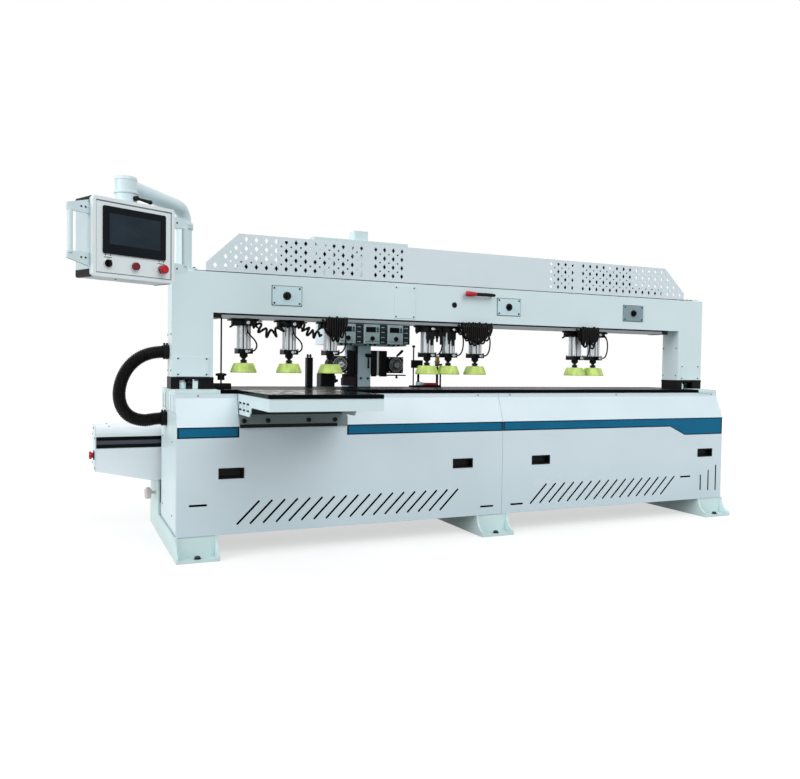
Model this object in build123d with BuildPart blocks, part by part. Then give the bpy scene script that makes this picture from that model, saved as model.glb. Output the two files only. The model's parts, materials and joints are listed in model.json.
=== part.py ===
from build123d import *
from math import cos, radians, sin, tan
import os

# Side hole drilling machine in millimetres: floor at Z 0, front toward -Y, origin amid the corner anchors
os.makedirs("parts", exist_ok=True)

# Whole machine
half_length = 1650
front_y = -450
cabinet_rear_y = 96
cabinet_bottom = 104
table_bottom, table_top_z = 756, 774
seat_top = 772
sheet = 3
slip = 0.3

# Floor feet
foot_centers = (-1562.5, 0, 1562.5)
foot_width, foot_reach = 193, 518
foot_plate, foot_web = 12, 10
anchor_y, anchor_radius = 490, 9
web_toe, web_heel, web_rise, web_middle = 514, 455, 10, (472, 50)

# Base frame
bar = 60
frame_front_y, frame_rear_y = -394, 90
frame_half = 1640
stringer_x = (-780, 780)
seat_inner_left, seat_inner_right = -1446, 1592
seat_half_width = 70

# Front covers
band_bottom, band_top, band_lean = 604, 734, 52.5
cover_joint, joint_gap = 58, 1.5
cover_top = table_bottom - slip
cover_lip = 25
cutout_x = (-1368, -837)
cutout_bottom = 600
pull_x, pull_z = (-1404, -185, 306, 1512), 388
pull_size, pull_flange, pull_depth, pull_wall = (112, 44), (119, 50), 28, 3
slot_width = 10
vent_length, vent_z = 152, 200
vent_rows = {"left": (-1324, 62.35, 18), "right": (294, 61.7, 16)}
short_slot_length = 82
short_slots = {"left": ((-1555, 246), (-35, 150)), "right": ((154, 151), (1359, 246))}
tall_slots = ((1482, 204, 98), (1545, 216, 128), (1606, 229, 160))

# Tables
table_x, table_y = (-1445, 1590), (-400, 150)
notch_x, notch_y, notch_gap = 1440, (-275, -113), 1
table_edge, extension_corner = 3, 12
extension_x, extension_front = (-1367, -860), -980
apron_bottom, apron_deep, apron_wall, apron_inset = 703, 660, 4, 3
apron_step_y, apron_curve_y = -670, -630
oval_y, oval_z, oval_length, oval_width = (-602, -525, -448), 700, 62, 32
apron_round = 10
support_y, support_round, shelf_drop = (-458, -447), 20, (30, 18)
support_bolt_x, support_bolt_z = (-1348, -1235, -1036, -903), 631
support_bolt_radius, support_bolt_length = 9, 8

# Rear X axis
axis_left, axis_right = -1962, 1640
axis_beam_y, axis_beam_z, axis_wall, axis_spacer_y = (160, 400), (380, 560), 12, (200, 360)
casing_y, casing_top, casing_round = (130, 430), 566, 40
casing_low, casing_low_end, casing_slope_x = 288, 342, -1700
slot_z = (457, 517)
rail_z, rail_depth = (477, 497), 18
rack_z, rack_depth = (499, 514), 25.5
end_plate = 6
pedestal_y, pedestal_half, pedestal_clear = (190, 370), 70, 5
upright_front, upright_top = 150, 286
stop_button_y, stop_button_z = 190, 420
stop_stem_radius, stop_stem_x = 14, (-1986, -1956)
stop_head_radius, stop_head_x, stop_head_round = 20, (-1994, -1982), 5

# Portal
column_width, column_y, column_wall = 193, (-263, -125), 6
column_bottom, beam_bottom, beam_top = 830, 1140, 1338
base_plate, base_margin = 12, 3
base_blocks, jack_radius, jack_x, jack_y = (40, 70), 14, (-48, -8), (-232, -156)
cable_hole = 30
beam_round = 6
rail_x, rail_neck_y, rail_body_y, rail_neck_z = (-1455, 1364), (-246, -142), (-258, -130), 1132
rail_groove_half, rail_groove_depth = 8, 6
cover_inset, cover_top_inset, cover_top_edge, cover_end = 157, 314, 1527, 40
hole_pitch, hole_rows, hole_size, hole_margin = 50, (1369, 1413.5, 1458, 1502.5), (9.5, 14), 24
hole_fields = ((-1450, -700), (-620, -470), (481, 631), (708, 1458))
dot_half, dot_lift = 4.2, 22
flange_deep, flange_low = 40, 30
plate_x, plate_z, plate_size, plate_thick, plate_round = (-1095, 197, 1088), 1237, (150, 94), 4, 6
selector_stem, selector_base, selector_boss = (8, 3.5), (15, 8), (11, 14)
selector_grip = (8, 22, 24)

# Side stops
left_stop_x, left_stop_y, left_stop_top = (-1444, -1367), (-255, -205), 800
left_rod_x, left_rod_y, left_rod_radius = -1412, -230, 4
left_knob_radius, left_knob_z = 17, (815, 835)
gauge_x, gauge_y, gauge_top, gauge_round = (-893, -860), (40, 80), 935, 4
middle_stop_x, middle_stop_y, middle_stop_top = (-260, -72), (36, 84), 784
middle_block_x, middle_block_top = (-169, -100), 796
middle_rods = ((-243, 1008), (-88, 934))

# Presses
press_zones = {1: (-1294, -1062, -841), 2: (-280, -149, 22), 3: (711, 846)}
press_y = -194
rail_bottom, cap_upper_bottom, cap_lower_top, cap_lower_bottom = 1118, 1084, 969, 946
cap_upper, cap_lower, boss_radius, boss_bottom = (110, 84), 76, 20, 930
tube_outer, tube_inner = 34, 30
rod_radius, piston_radius, piston_z = 8, 29.95, (1054, 1076)
rod_bore, nut_radius, nut_height = 8.05, 12, 15
pad_bottom, pad_top, pad_base, pad_crown = 852, 900, 65, 48
top_plate_half, top_plate_thick = 65, 8
fitting_half, fitting_side, fitting_front, fitting_upper, fitting_lower = 9, 12, -256, 1099, 957

# Hoses and cords
conduit_diameter = 62
conduit_route = [
    (-half_length, -168, 949), (-1708, -168, 949), (-1782, -158, 924), (-1841, -146, 866), (-1874, -134, 781),
    (-1871, -122, 697), (-1830, -114, 634), (-1756, -106, 612), (-1702, -97, 624), (-half_length, -97, 624),
]
cuff_radius, cuff_length, cuff_room = 35, 26, 0.05
air_diameter, air_y = 8, -246
air_loop = [
    (fitting_side, fitting_upper), (36, fitting_upper), (57, 1081), (66, 1053), (67, 1022), (63, 992),
    (53, 969), (36, fitting_lower), (fitting_side, fitting_lower),
]
air_drop = [
    (4, cap_upper_bottom), (4, 1060), (17, 1038), (38, 1020), (53, 998), (53, 974),
    (36, fitting_lower), (fitting_side, fitting_lower),
]
spiral_diameter = 44
spiral_y, spiral_z = -262, 1094
spiral_routes = {
    1: [(-1280, spiral_y, spiral_z), (-1249, spiral_y, spiral_z), (-1221, spiral_y - 3, 1060),
        (-1182, spiral_y - 5, 1042), (-1139, spiral_y - 3, 1056), (-1107, spiral_y, spiral_z),
        (-1076, spiral_y, spiral_z)],
    2: [(-1048, spiral_y, spiral_z), (-1016, spiral_y, spiral_z), (-984, spiral_y - 8, 1058),
        (-950, spiral_y - 19, 1047), (-915.1, spiral_y - 19, 1047)],
}
port_half, port_front, port_presses = 14, -284, press_zones[1][:2]
bundle_x, bundle_width = (-845, -25, 738), (140, 210, 150)
bundle_y, bundle_z, bundle_round = (-310, -263.2), (1000, 1152), 14

# Control arm and box
post_x, post_y, post_radius, post_flange = -1585, -194, 36, 62
arm_split, arm_z, arm_radius, arm_bend = 1550, 1630, 33, 66
hanger_x, hanger_y, hanger_radius, hanger_bottom = -1880, -595, 44, 1560
box_turn = 26.4
box_center = (-1847, -652, 1395)
box_width, box_height, box_depth, box_round, box_wall = 373, 317, 118, 12, 3
panel_depth, panel_rim, panel_recess = 16, 14, 4
screen_size, screen_place, screen_thick = (286, 190), (0, 30), 6
screen_round = 8
control_x, control_drop = {"selector": -120, "start": 0, "emergency": 124}, -104
control_hole, control_stem, stem_end = 11, 10, -14
knob_radius, knob_height, knob_grip, knob_grip_z = 15, 8, (8, 24, 16), 11
start_radius, start_z = 15.5, (0, 12)
emergency_radius, emergency_z, emergency_round = 18.5, (15, 29), 5
handle_reach, handle_z, handle_radius, handle_back = 75, (-74, 97), 11, -35
bracket_thick, bracket_root, bracket_tip, bracket_cap = 12, (46, 10), (6, 22), 13
ring_margin = 5
lever_length, lever_ends, lever_z, lever_turn, lever_stand = 80, (5, 8), 1574, 45, 12
lever_hub_radius, lever_hub_length = 10, 16

# Drilling head at rest
head_x = -457
saddle_half, saddle_y, saddle_z, cheek = 215, (104, 490), (590, 612), 18
block_x, block_half, block_z, block_gap, rear_block_top = 150, 45, (463, 511), 3, 498.5
way_x, way_y, way_top, way_lip, lip_drop = (75, 115), (130, 480), 632, 15, 16
rib_inset, rib_height, rib_half = 16, 260, 6
front_plate_x, front_plate_y, front_plate_top = (-62, 19), (244, 252), 1010
slide_half, slide_y, slide_top = 130, (200, 470), 652
mast_shift, mast_half, mast_y, mast_top = -45, 66, (300, 340), 1628
z_way_x, z_way_depth, z_way_z = (30, 58), 14, (690, 1010)
z_plate_half, z_plate_y, z_plate_z, z_shoe, shoe_inset = 128, (262, 285.7), (842, 985), 20, 8
z_arm_half, z_arm_z = 227, (853, 947)
spindle_x, spindle_z, spindle_flange, spindle_front = 178, 900, 98, 235
spindle_radius, spindle_rear, spindle_bore, spindle_room = 42.5, 388, 15.05, 0.5
shaft_radius, collet_radius, collet_y, bit_radius, bit_tip = 15, 17, (213, 232), 5, 165
hood_x, hood_front, hood_rear, hood_z_range = (-340, 260), 258, 472, (1015, 1632)
hood_wall, hood_round, hood_step_x, hood_step_z = 4, 10, -255, 1340
motor_size, motor_center, motor_top, motor_round, motor_gap = 90, (-39, 320), 1690, 8, 2
inverter_x, inverter_size, inverter_z, inverter_round = (-144, 7, 158), (100, 62), (1024, 1146), 6
drive_x, drive_y, drive_size, drive_top = -193, 446, 90, 844
pinion_radius, pinion_bore, drive_shaft, pinion_room = 20, 7.05, 7, 3

column_centers = (-half_length + column_width / 2, half_length - column_width / 2)
column_mid_y = (column_y[0] + column_y[1]) / 2
tube_inside_y = (column_y[0] + column_wall, column_y[1] - column_wall)
all_presses = [x for zone in press_zones.values() for x in zone]


def slab(x, y, z, mode=Mode.ADD):
    """Adds a block between two limits on each axis."""
    with Locations(((x[0] + x[1]) / 2, (y[0] + y[1]) / 2, (z[0] + z[1]) / 2)):
        Box(x[1] - x[0], y[1] - y[0], z[1] - z[0], mode=mode)


def post(x, y, z, radius, mode=Mode.ADD):
    """Adds an upright round bar between two heights."""
    with Locations((x, y, (z[0] + z[1]) / 2)):
        Cylinder(radius, z[1] - z[0], mode=mode)


def spindle_bar(x, y, z, radius, mode=Mode.ADD):
    """Adds a round bar along Y between two depths."""
    with Locations(Location((x, (y[0] + y[1]) / 2, z), (90, 0, 0))):
        Cylinder(radius, y[1] - y[0], mode=mode)


def span(center, half):
    """Limits on both sides of a middle."""
    return center - half, center + half


def bend_radii(points, share=0.45):
    """Largest bend radius that each inner corner of a route allows."""
    spots = [Vector(*p) for p in points]
    radii = []
    for a, b, c in zip(spots, spots[1:], spots[2:]):
        half_turn = radians((b - a).get_angle(c - b)) / 2
        radii.append(share * min((b - a).length, (c - b).length) / tan(half_turn))
    return radii


def hose(points, diameter, name):
    """A round hose along a route of straight runs and tangent arcs."""
    radii = bend_radii(points)
    with BuildPart() as tube:
        with BuildLine():
            route = FilletPolyline(*points, radius=radii)
        with BuildSketch(Plane(origin=route @ 0, z_dir=route % 0)) as section:
            Circle(diameter / 2)
        sweep()
    ratio = tube.part.volume / (section.sketch.area * route.length)
    print(name, "length", round(route.length), "volume ratio", round(ratio, 4))
    print(name, "radii", [round(r) for r in radii])
    return tube


def save(builder, name):
    """Labels a finished piece and writes it."""
    builder.part.label = name
    export_step(builder.part, f"parts/{name}.step")


# Floor feet: plate, two webs with a curved toe in front and a plate across each end
with BuildPart() as floor_feet:
    for center in foot_centers:
        slab(span(center, foot_width / 2), (-foot_reach, foot_reach), (0, foot_plate))
        for web_x in span(center, (foot_width - foot_web) / 2):
            with BuildSketch(Plane.YZ.offset(web_x)):
                with BuildLine():
                    toe_top = foot_plate + web_rise
                    Line((-web_toe, foot_plate), (-web_toe, toe_top))
                    arc_y, arc_z = web_middle
                    ThreePointArc((-web_toe, toe_top), (-arc_y, arc_z), (-web_heel, cabinet_bottom))
                    Polyline((-web_heel, cabinet_bottom), (web_toe, cabinet_bottom), (web_toe, foot_plate),
                             (-web_toe, foot_plate))
                make_face()
            extrude(amount=foot_web / 2, both=True)
        for cross_y in (front_y + foot_web, -front_y - foot_web):
            slab(span(center, foot_width / 2 - foot_web), span(cross_y, foot_web / 2),
                 (foot_plate, cabinet_bottom))
        with Locations((center, -anchor_y, foot_plate), (center, anchor_y, foot_plate)):
            Hole(anchor_radius, depth=foot_plate)
save(floor_feet, "floor_feet")

# Base frame: welded bars, seat plates under the columns, pedestals and upright plates for the rear axis
with BuildPart() as base_frame:
    bar_levels = ((cabinet_bottom, cabinet_bottom + bar), (table_bottom - bar, table_bottom))
    for level in bar_levels:
        for rail_y in ((frame_front_y, frame_front_y + bar), (frame_rear_y - bar, frame_rear_y)):
            slab((-frame_half, frame_half), rail_y, level)
    for center in foot_centers:
        for level in bar_levels:
            slab(span(center, bar / 2), (frame_front_y, frame_rear_y), level)
        for post_front in (frame_front_y, frame_rear_y - bar):
            slab(span(center, bar / 2), (post_front, post_front + bar), (cabinet_bottom, table_bottom))
        slab(span(center, pedestal_half), (frame_rear_y - bar, pedestal_y[1]), bar_levels[0])
        slab(span(center, pedestal_half), pedestal_y, (cabinet_bottom, axis_beam_z[0]))
        slab(span(center, foot_width / 2), (upright_front, pedestal_y[0]), bar_levels[0])
        for web_x in span(center, (foot_width - foot_web) / 2):
            slab(span(web_x, foot_web / 2), (upright_front, web_toe), (cabinet_bottom, upright_top))
    for center in stringer_x:
        slab(span(center, bar / 2), (frame_front_y, frame_rear_y), bar_levels[1])
    for center in column_centers:
        slab(span(center, seat_half_width), (frame_front_y, frame_rear_y), bar_levels[1])
    slab((-half_length, seat_inner_left), (frame_front_y - sheet, cabinet_rear_y), (table_bottom, seat_top))
    slab((seat_inner_right, half_length), (frame_front_y - sheet, cabinet_rear_y), (table_bottom, seat_top))
    slab((notch_x + notch_gap, half_length), (notch_y[0] + notch_gap, notch_y[1] - notch_gap),
         (table_bottom, seat_top))
save(base_frame, "base_frame")

# Front covers: folded sheet with a leaning upper band, slots and pockets for the pulls
cover_spans = {
    "left": (-half_length, cover_joint - joint_gap / 2),
    "right": (cover_joint + joint_gap / 2, half_length),
}
lean_y = front_y + band_lean
for side, (x_start, x_end) in cover_spans.items():
    with BuildPart() as front_cover:
        with BuildSketch(Plane.YZ.offset(x_start)):
            with BuildLine():
                Polyline(
                    (front_y + cover_lip, cabinet_bottom), (front_y, cabinet_bottom), (front_y, band_bottom),
                    (lean_y, band_top), (lean_y, cover_top), (lean_y + sheet, cover_top),
                    (lean_y + sheet, band_top),
                    (front_y + sheet, band_bottom), (front_y + sheet, cabinet_bottom + sheet),
                    (front_y + cover_lip, cabinet_bottom + sheet), close=True)
            make_face()
        extrude(amount=x_end - x_start)
        with BuildSketch(Plane.XZ.offset(-front_y)):
            first, pitch, count = vent_rows[side]
            with Locations(*[(first + i * pitch, vent_z) for i in range(count)]):
                SlotOverall(vent_length, slot_width, rotation=45)
            with Locations(*short_slots[side]):
                SlotOverall(short_slot_length, slot_width)
            with Locations(*[(x, pull_z) for x in pull_x if x_start < x < x_end]):
                Rectangle(*pull_size)
            if side == "right":
                for slot_x, slot_mid, slot_tall in tall_slots:
                    with Locations((slot_x, slot_mid)):
                        SlotOverall(slot_tall, slot_width, rotation=90)
        extrude(amount=-2 * sheet, mode=Mode.SUBTRACT)
        if side == "left":
            slab(cutout_x, (front_y - 1, lean_y + 2 * sheet), (cutout_bottom, table_top_z), Mode.SUBTRACT)
    save(front_cover, f"front_cover_{side}")

# Recessed pulls: black trays set into the front covers
with BuildPart() as cover_pulls:
    for center in pull_x:
        slab(span(center, pull_flange[0] / 2), (front_y - 2, front_y), span(pull_z, pull_flange[1] / 2))
        slab(span(center, pull_size[0] / 2 - slip), (front_y, front_y + pull_depth),
             span(pull_z, pull_size[1] / 2 - slip))
        slab(span(center, pull_size[0] / 2 - pull_wall), (front_y - 2, front_y + pull_depth - pull_wall),
             span(pull_z, pull_size[1] / 2 - pull_wall), Mode.SUBTRACT)
save(cover_pulls, "cover_pulls")

# Cabinet covers: end plates that follow the leaning front edge, and a flat rear sheet
with BuildPart() as cabinet_covers:
    for cover_x in (-half_length, half_length - sheet):
        with BuildSketch(Plane.YZ.offset(cover_x)):
            with BuildLine():
                edge_y = front_y + sheet + slip
                Polyline(
                    (edge_y, cabinet_bottom + sheet + slip), (edge_y, band_bottom),
                    (edge_y + band_lean, band_top), (edge_y + band_lean, table_bottom),
                    (cabinet_rear_y, table_bottom),
                    (cabinet_rear_y, cabinet_bottom + sheet + slip), close=True)
            make_face()
        extrude(amount=sheet)
    slab(span(0, half_length - sheet - slip), (frame_rear_y, frame_rear_y + sheet),
         (bar_levels[0][1], table_bottom))
save(cabinet_covers, "cabinet_covers")

# Main table top, notched around the right column seat
with BuildPart() as table_top:
    slab(table_x, table_y, (table_bottom, table_top_z))
    slab((notch_x, table_x[1]), notch_y, (table_bottom, table_top_z), Mode.SUBTRACT)
    fillet(table_top.edges().filter_by(Axis.X).group_by(Axis.Z)[-1], table_edge)
save(table_top, "table_top")

# Extension table: top, apron tray with slotted side plates, and grey support beam
with BuildPart() as extension_top:
    slab(extension_x, (extension_front, table_y[0] - slip), (table_bottom, table_top_z))
    fillet(extension_top.edges().filter_by(Axis.Z).group_by(Axis.Y)[0], extension_corner)
    fillet(extension_top.faces().sort_by(Axis.Z)[-1].edges().sort_by(Axis.Y)[0:-1], table_edge)
save(extension_top, "extension_top")

apron_x = (extension_x[0] + apron_inset, extension_x[1] - apron_inset)
apron_front = extension_front + apron_inset
with BuildPart() as extension_frame:
    slab(apron_x, (apron_front, apron_front + apron_wall), (apron_bottom, table_bottom))
    for plate_start in (apron_x[0], apron_x[1] - apron_wall):
        with BuildSketch(Plane.YZ.offset(plate_start)):
            with BuildLine():
                Polyline(
                    (frame_front_y, apron_deep), (apron_curve_y, apron_deep), (apron_step_y, apron_bottom),
                    (apron_front, apron_bottom), (apron_front, table_bottom), (frame_front_y, table_bottom),
                    close=True)
            make_face()
            fillet(vertices().sort_by(Axis.Y)[0:2], apron_round)
            with Locations(*[(y, oval_z) for y in oval_y]):
                SlotOverall(oval_length, oval_width, mode=Mode.SUBTRACT)
        extrude(amount=apron_wall)
    slab(apron_x, (apron_step_y, apron_step_y + bar), (table_bottom - apron_wall, table_bottom))
    slab(apron_x, (apron_front, apron_front + bar), (table_bottom - apron_wall, table_bottom))
save(extension_frame, "extension_frame")

with BuildPart() as extension_support:
    slab(cutout_x, support_y, (cutout_bottom, apron_deep))
    right_edges = extension_support.edges().filter_by(Axis.Y).sort_by(Axis.X)[-2:]
    fillet(right_edges.sort_by(Axis.Z)[-1:], support_round)
    slab((cutout_x[0], apron_x[1]), (support_y[1], frame_front_y), [apron_deep - drop for drop in shelf_drop])
    with Locations(*[Location((x, support_y[0], support_bolt_z), (90, 0, 0)) for x in support_bolt_x]):
        Cylinder(support_bolt_radius, support_bolt_length)
save(extension_support, "extension_support")

# Rear axis: hollow beam, rails with rack, casing and end plates
with BuildPart() as x_beam:
    slab((axis_left, axis_right), axis_beam_y, axis_beam_z)
    slab((axis_left - 1, axis_right + 1), (axis_beam_y[0] + axis_wall, axis_beam_y[1] - axis_wall),
         (axis_beam_z[0] + axis_wall, axis_beam_z[1] - axis_wall), Mode.SUBTRACT)
    slab((axis_left, axis_right), axis_spacer_y, (axis_beam_z[1], casing_top - sheet))
save(x_beam, "x_beam")

with BuildPart() as x_rails:
    slab((axis_left, axis_right), (axis_beam_y[0] - rail_depth, axis_beam_y[0]), rail_z)
    slab((axis_left, axis_right), (axis_beam_y[1], axis_beam_y[1] + rail_depth), rail_z)
    slab((axis_left, axis_right), (axis_beam_y[1], axis_beam_y[1] + rack_depth), rack_z)
save(x_rails, "x_rails")

with BuildPart() as x_beam_cover:
    for shrink, mode in ((0, Mode.ADD), (sheet, Mode.SUBTRACT)):
        with BuildSketch(Plane.YZ.offset(axis_left)):
            with Locations(((casing_y[0] + casing_y[1]) / 2, (slot_z[1] + casing_top) / 2)):
                Rectangle(casing_y[1] - casing_y[0] - 2 * shrink, casing_top - slot_z[1] - 2 * shrink)
            fillet(vertices().group_by(Axis.Y)[-1], casing_round - shrink)
        extrude(amount=axis_right - axis_left, mode=mode)
    slab((axis_left, axis_right), axis_beam_y, (slot_z[1], slot_z[1] + sheet), Mode.SUBTRACT)
    for shrink, mode in ((0, Mode.ADD), (sheet, Mode.SUBTRACT)):
        lid = slot_z[0] - shrink
        with BuildSketch(Plane.XZ.offset(-casing_y[0] - shrink)):
            with BuildLine():
                Polyline(
                    (axis_left, casing_low_end + shrink), (casing_slope_x, casing_low + shrink),
                    (axis_right, casing_low + shrink), (axis_right, lid), (axis_left, lid), close=True)
            make_face()
        extrude(amount=-(casing_y[1] - casing_y[0] - 2 * shrink), mode=mode)
    slab((axis_left, axis_right), axis_beam_y, (slot_z[0] - sheet, slot_z[0]), Mode.SUBTRACT)
    for center in foot_centers:
        slab(span(center, pedestal_half + pedestal_clear),
             (pedestal_y[0] - pedestal_clear, pedestal_y[1] + pedestal_clear),
             (casing_low - 1, casing_low + sheet + 1), Mode.SUBTRACT)
save(x_beam_cover, "x_beam_cover")

with BuildPart() as x_end_plates:
    for plate_start, low in ((axis_left - end_plate, casing_low_end), (axis_right, casing_low)):
        with BuildSketch(Plane.YZ.offset(plate_start)):
            with Locations(((casing_y[0] + casing_y[1]) / 2, (low + casing_top) / 2)):
                Rectangle(casing_y[1] - casing_y[0], casing_top - low)
            fillet(vertices().group_by(Axis.Y)[-1], casing_round)
            if plate_start < 0:
                with Locations((stop_button_y, stop_button_z)):
                    Circle(stop_stem_radius + slip, mode=Mode.SUBTRACT)
        extrude(amount=end_plate)
save(x_end_plates, "x_end_plates")

with BuildPart() as end_stop_button:
    for radius, reach in ((stop_head_radius, stop_head_x), (stop_stem_radius, stop_stem_x)):
        with BuildSketch(Plane.YZ.offset(reach[0])):
            with Locations((stop_button_y, stop_button_z)):
                Circle(radius)
        extrude(amount=reach[1] - reach[0])
    fillet(end_stop_button.edges().filter_by(GeomType.CIRCLE).sort_by(Axis.X)[0], stop_head_round)
save(end_stop_button, "end_stop_button")

# Portal columns: square tubes open at the top into the beam
with BuildPart() as columns:
    for center in column_centers:
        slab(span(center, column_width / 2), column_y, (column_bottom, beam_bottom))
        slab(span(center, column_width / 2 - column_wall), tube_inside_y, (column_bottom, beam_bottom),
             Mode.SUBTRACT)
    with Locations(Location(conduit_route[0], (0, 90, 0))):
        Cylinder(cable_hole, 4 * column_wall, mode=Mode.SUBTRACT)
save(columns, "columns")

# Column bases: black plate on end blocks and jack studs
with BuildPart() as column_bases:
    for center in column_centers:
        plate_half = column_width / 2 + base_margin
        slab(span(center, plate_half), (column_y[0] - base_margin, column_y[1] + base_margin),
             (column_bottom - base_plate, column_bottom))
        block_z_range = (seat_top, column_bottom - base_plate)
        slab((center - plate_half, center - plate_half + base_blocks[0]), column_y, block_z_range)
        slab((center + plate_half - base_blocks[1], center + plate_half), column_y, block_z_range)
        for stud_x in jack_x:
            for stud_y in jack_y:
                post(center + stud_x, stud_y, block_z_range, jack_radius)
save(column_bases, "column_bases")

# Cross beam: rectangular tube, open over the columns and closed at its ends
with BuildPart() as cross_beam:
    slab((-half_length, half_length), column_y, (beam_bottom, beam_top))
    slab(span(0, half_length - column_wall), tube_inside_y,
         (beam_bottom + column_wall, beam_top - column_wall), Mode.SUBTRACT)
    for center in column_centers:
        post(center, column_mid_y, (beam_bottom, beam_bottom + column_wall), cable_hole, Mode.SUBTRACT)
    fillet(cross_beam.edges().filter_by(Axis.X).group_by(Axis.Z)[-1], beam_round)
save(cross_beam, "cross_beam")

# Press rail: extrusion with a narrow neck and a slot below
with BuildPart() as press_rail:
    slab(rail_x, rail_neck_y, (rail_neck_z, beam_bottom))
    slab(rail_x, rail_body_y, (rail_bottom, rail_neck_z))
    slab(rail_x, span(press_y, rail_groove_half), (rail_bottom, rail_bottom + rail_groove_depth),
         Mode.SUBTRACT)
save(press_rail, "press_rail")

# Side stops: left block with its rod and knob, gauge bar, and the middle stop on two rods
with BuildPart() as side_stops:
    slab(left_stop_x, left_stop_y, (table_top_z, left_stop_top))
    post(left_rod_x, left_rod_y, (left_stop_top, rail_bottom), left_rod_radius)
    post(left_rod_x, left_rod_y, left_knob_z, left_knob_radius)
    slab(gauge_x, gauge_y, (table_top_z, gauge_top))
    fillet(side_stops.edges().filter_by(Axis.Z).group_by(Axis.Y)[-1], gauge_round)
    slab(middle_stop_x, middle_stop_y, (table_top_z, middle_stop_top))
    slab(middle_block_x, middle_stop_y, (middle_stop_top, middle_block_top))
    for rod_x, rod_top in middle_rods:
        post(rod_x, sum(middle_stop_y) / 2, (middle_stop_top, rod_top), left_rod_radius)
save(side_stops, "side_stops")

# Perforated cover: sheet with sloped ends, top flange, diamonds and small square holes
with BuildPart() as perforated_cover:
    low, high = half_length - cover_inset, half_length - cover_top_inset
    shoulder = beam_top + cover_end
    slope = (low - high) / (cover_top_edge - shoulder)
    with BuildSketch(Plane.XZ.offset(-column_y[0])):
        with BuildLine():
            Polyline((-low, beam_top), (-low, shoulder), (-high, cover_top_edge), (high, cover_top_edge),
                     (low, shoulder), (low, beam_top), close=True)
        make_face()
        for hole_z in hole_rows:
            reach = low - max(0, hole_z - shoulder) * slope - hole_margin
            for field_start, field_end in hole_fields:
                count = int((field_end - field_start) / hole_pitch) + 1
                spots = [field_start + i * hole_pitch for i in range(count)]
                with Locations(*[(x, hole_z) for x in spots if abs(x) < reach]):
                    Polygon((-hole_size[0], 0), (0, hole_size[1]), (hole_size[0], 0), (0, -hole_size[1]),
                            mode=Mode.SUBTRACT)
                if hole_z != hole_rows[-1]:
                    dots = [x + hole_pitch / 2 for x in spots[:-1]]
                    with Locations(*[(x, hole_z + dot_lift) for x in dots if abs(x) < reach - hole_pitch]):
                        Rectangle(2 * dot_half, 2 * dot_half, rotation=45, mode=Mode.SUBTRACT)
    extrude(amount=-sheet)
    slab(span(0, high), (column_y[0] + sheet, column_y[0] + flange_deep),
         (cover_top_edge - sheet, cover_top_edge))
    slab(span(0, low), (column_y[0] + sheet, column_y[0] + flange_low), (beam_top, beam_top + sheet))
save(perforated_cover, "perforated_cover")

# Switch plates and their selectors, one per press zone
plate_y = (column_y[0] - plate_thick, column_y[0])
with BuildPart() as switch_plates:
    for center in plate_x:
        slab(span(center, plate_size[0] / 2), plate_y, span(plate_z, plate_size[1] / 2))
    fillet(switch_plates.edges().filter_by(Axis.Y), plate_round)
    for center in plate_x:
        spindle_bar(center, plate_y, plate_z, selector_stem[0] + slip, Mode.SUBTRACT)
save(switch_plates, "switch_plates")

for zone, center in enumerate(plate_x, 1):
    with BuildPart() as zone_selector:
        knob_back = plate_y[0] - slip
        base_front = knob_back - selector_base[1]
        spindle_bar(center, (knob_back, knob_back + selector_stem[1]), plate_z, selector_stem[0])
        spindle_bar(center, (base_front, knob_back), plate_z, selector_base[0])
        spindle_bar(center, (knob_back - selector_boss[1], base_front), plate_z, selector_boss[0])
        slab(span(center, selector_grip[0] / 2), (knob_back - selector_grip[2], base_front),
             span(plate_z, selector_grip[1] / 2))
    save(zone_selector, f"zone_selector_{zone}")

# Presses: caps and tubes stay, rods and pads travel
with BuildPart() as press_caps:
    for center in all_presses:
        slab(span(center, cap_upper[0] / 2), span(press_y, cap_upper[1] / 2), (cap_upper_bottom, rail_bottom))
        slab(span(center, cap_lower / 2), span(press_y, cap_lower / 2), (cap_lower_bottom, cap_lower_top))
        post(center, press_y, (boss_bottom, cap_lower_bottom), boss_radius)
        post(center, press_y, (boss_bottom, cap_lower_top), rod_bore, Mode.SUBTRACT)
        slab(span(center, top_plate_half), span(press_y, cap_upper[1] / 2),
             (rail_bottom - top_plate_thick, rail_bottom))
        for fitting_z in (fitting_upper, fitting_lower):
            slab((center - fitting_half, center + fitting_side), (fitting_front, press_y - cap_lower / 2),
                 span(fitting_z, fitting_half))
    for center in port_presses:
        slab(span(center, port_half), (port_front, press_y - cap_upper[1] / 2),
             (cap_upper_bottom, rail_bottom))
save(press_caps, "press_caps")

with BuildPart() as press_cylinders:
    for center in all_presses:
        post(center, press_y, (cap_lower_top, cap_upper_bottom), tube_outer)
        post(center, press_y, (cap_lower_top, cap_upper_bottom), tube_inner, Mode.SUBTRACT)
save(press_cylinders, "press_cylinders")

for zone, centers in press_zones.items():
    with BuildPart() as press_rods:
        for center in centers:
            post(center, press_y, (pad_top, piston_z[0]), rod_radius)
            post(center, press_y, piston_z, piston_radius)
            post(center, press_y, (pad_top, pad_top + nut_height), nut_radius)
    save(press_rods, f"press_rods_{zone}")
    with BuildPart() as press_pads:
        with Locations(*[(center, press_y, (pad_bottom + pad_top) / 2) for center in centers]):
            Cone(pad_base, pad_crown, pad_top - pad_bottom)
    save(press_pads, f"press_pads_{zone}")

# Hoses: conduit from column to cabinet, spiral air hoses, air tubes beside the presses and tied bundles
save(hose(conduit_route, conduit_diameter, "conduit_hose"), "conduit_hose")
for number, route_points in spiral_routes.items():
    save(hose(route_points, spiral_diameter, f"spiral_hose_{number}"), f"spiral_hose_{number}")

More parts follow.
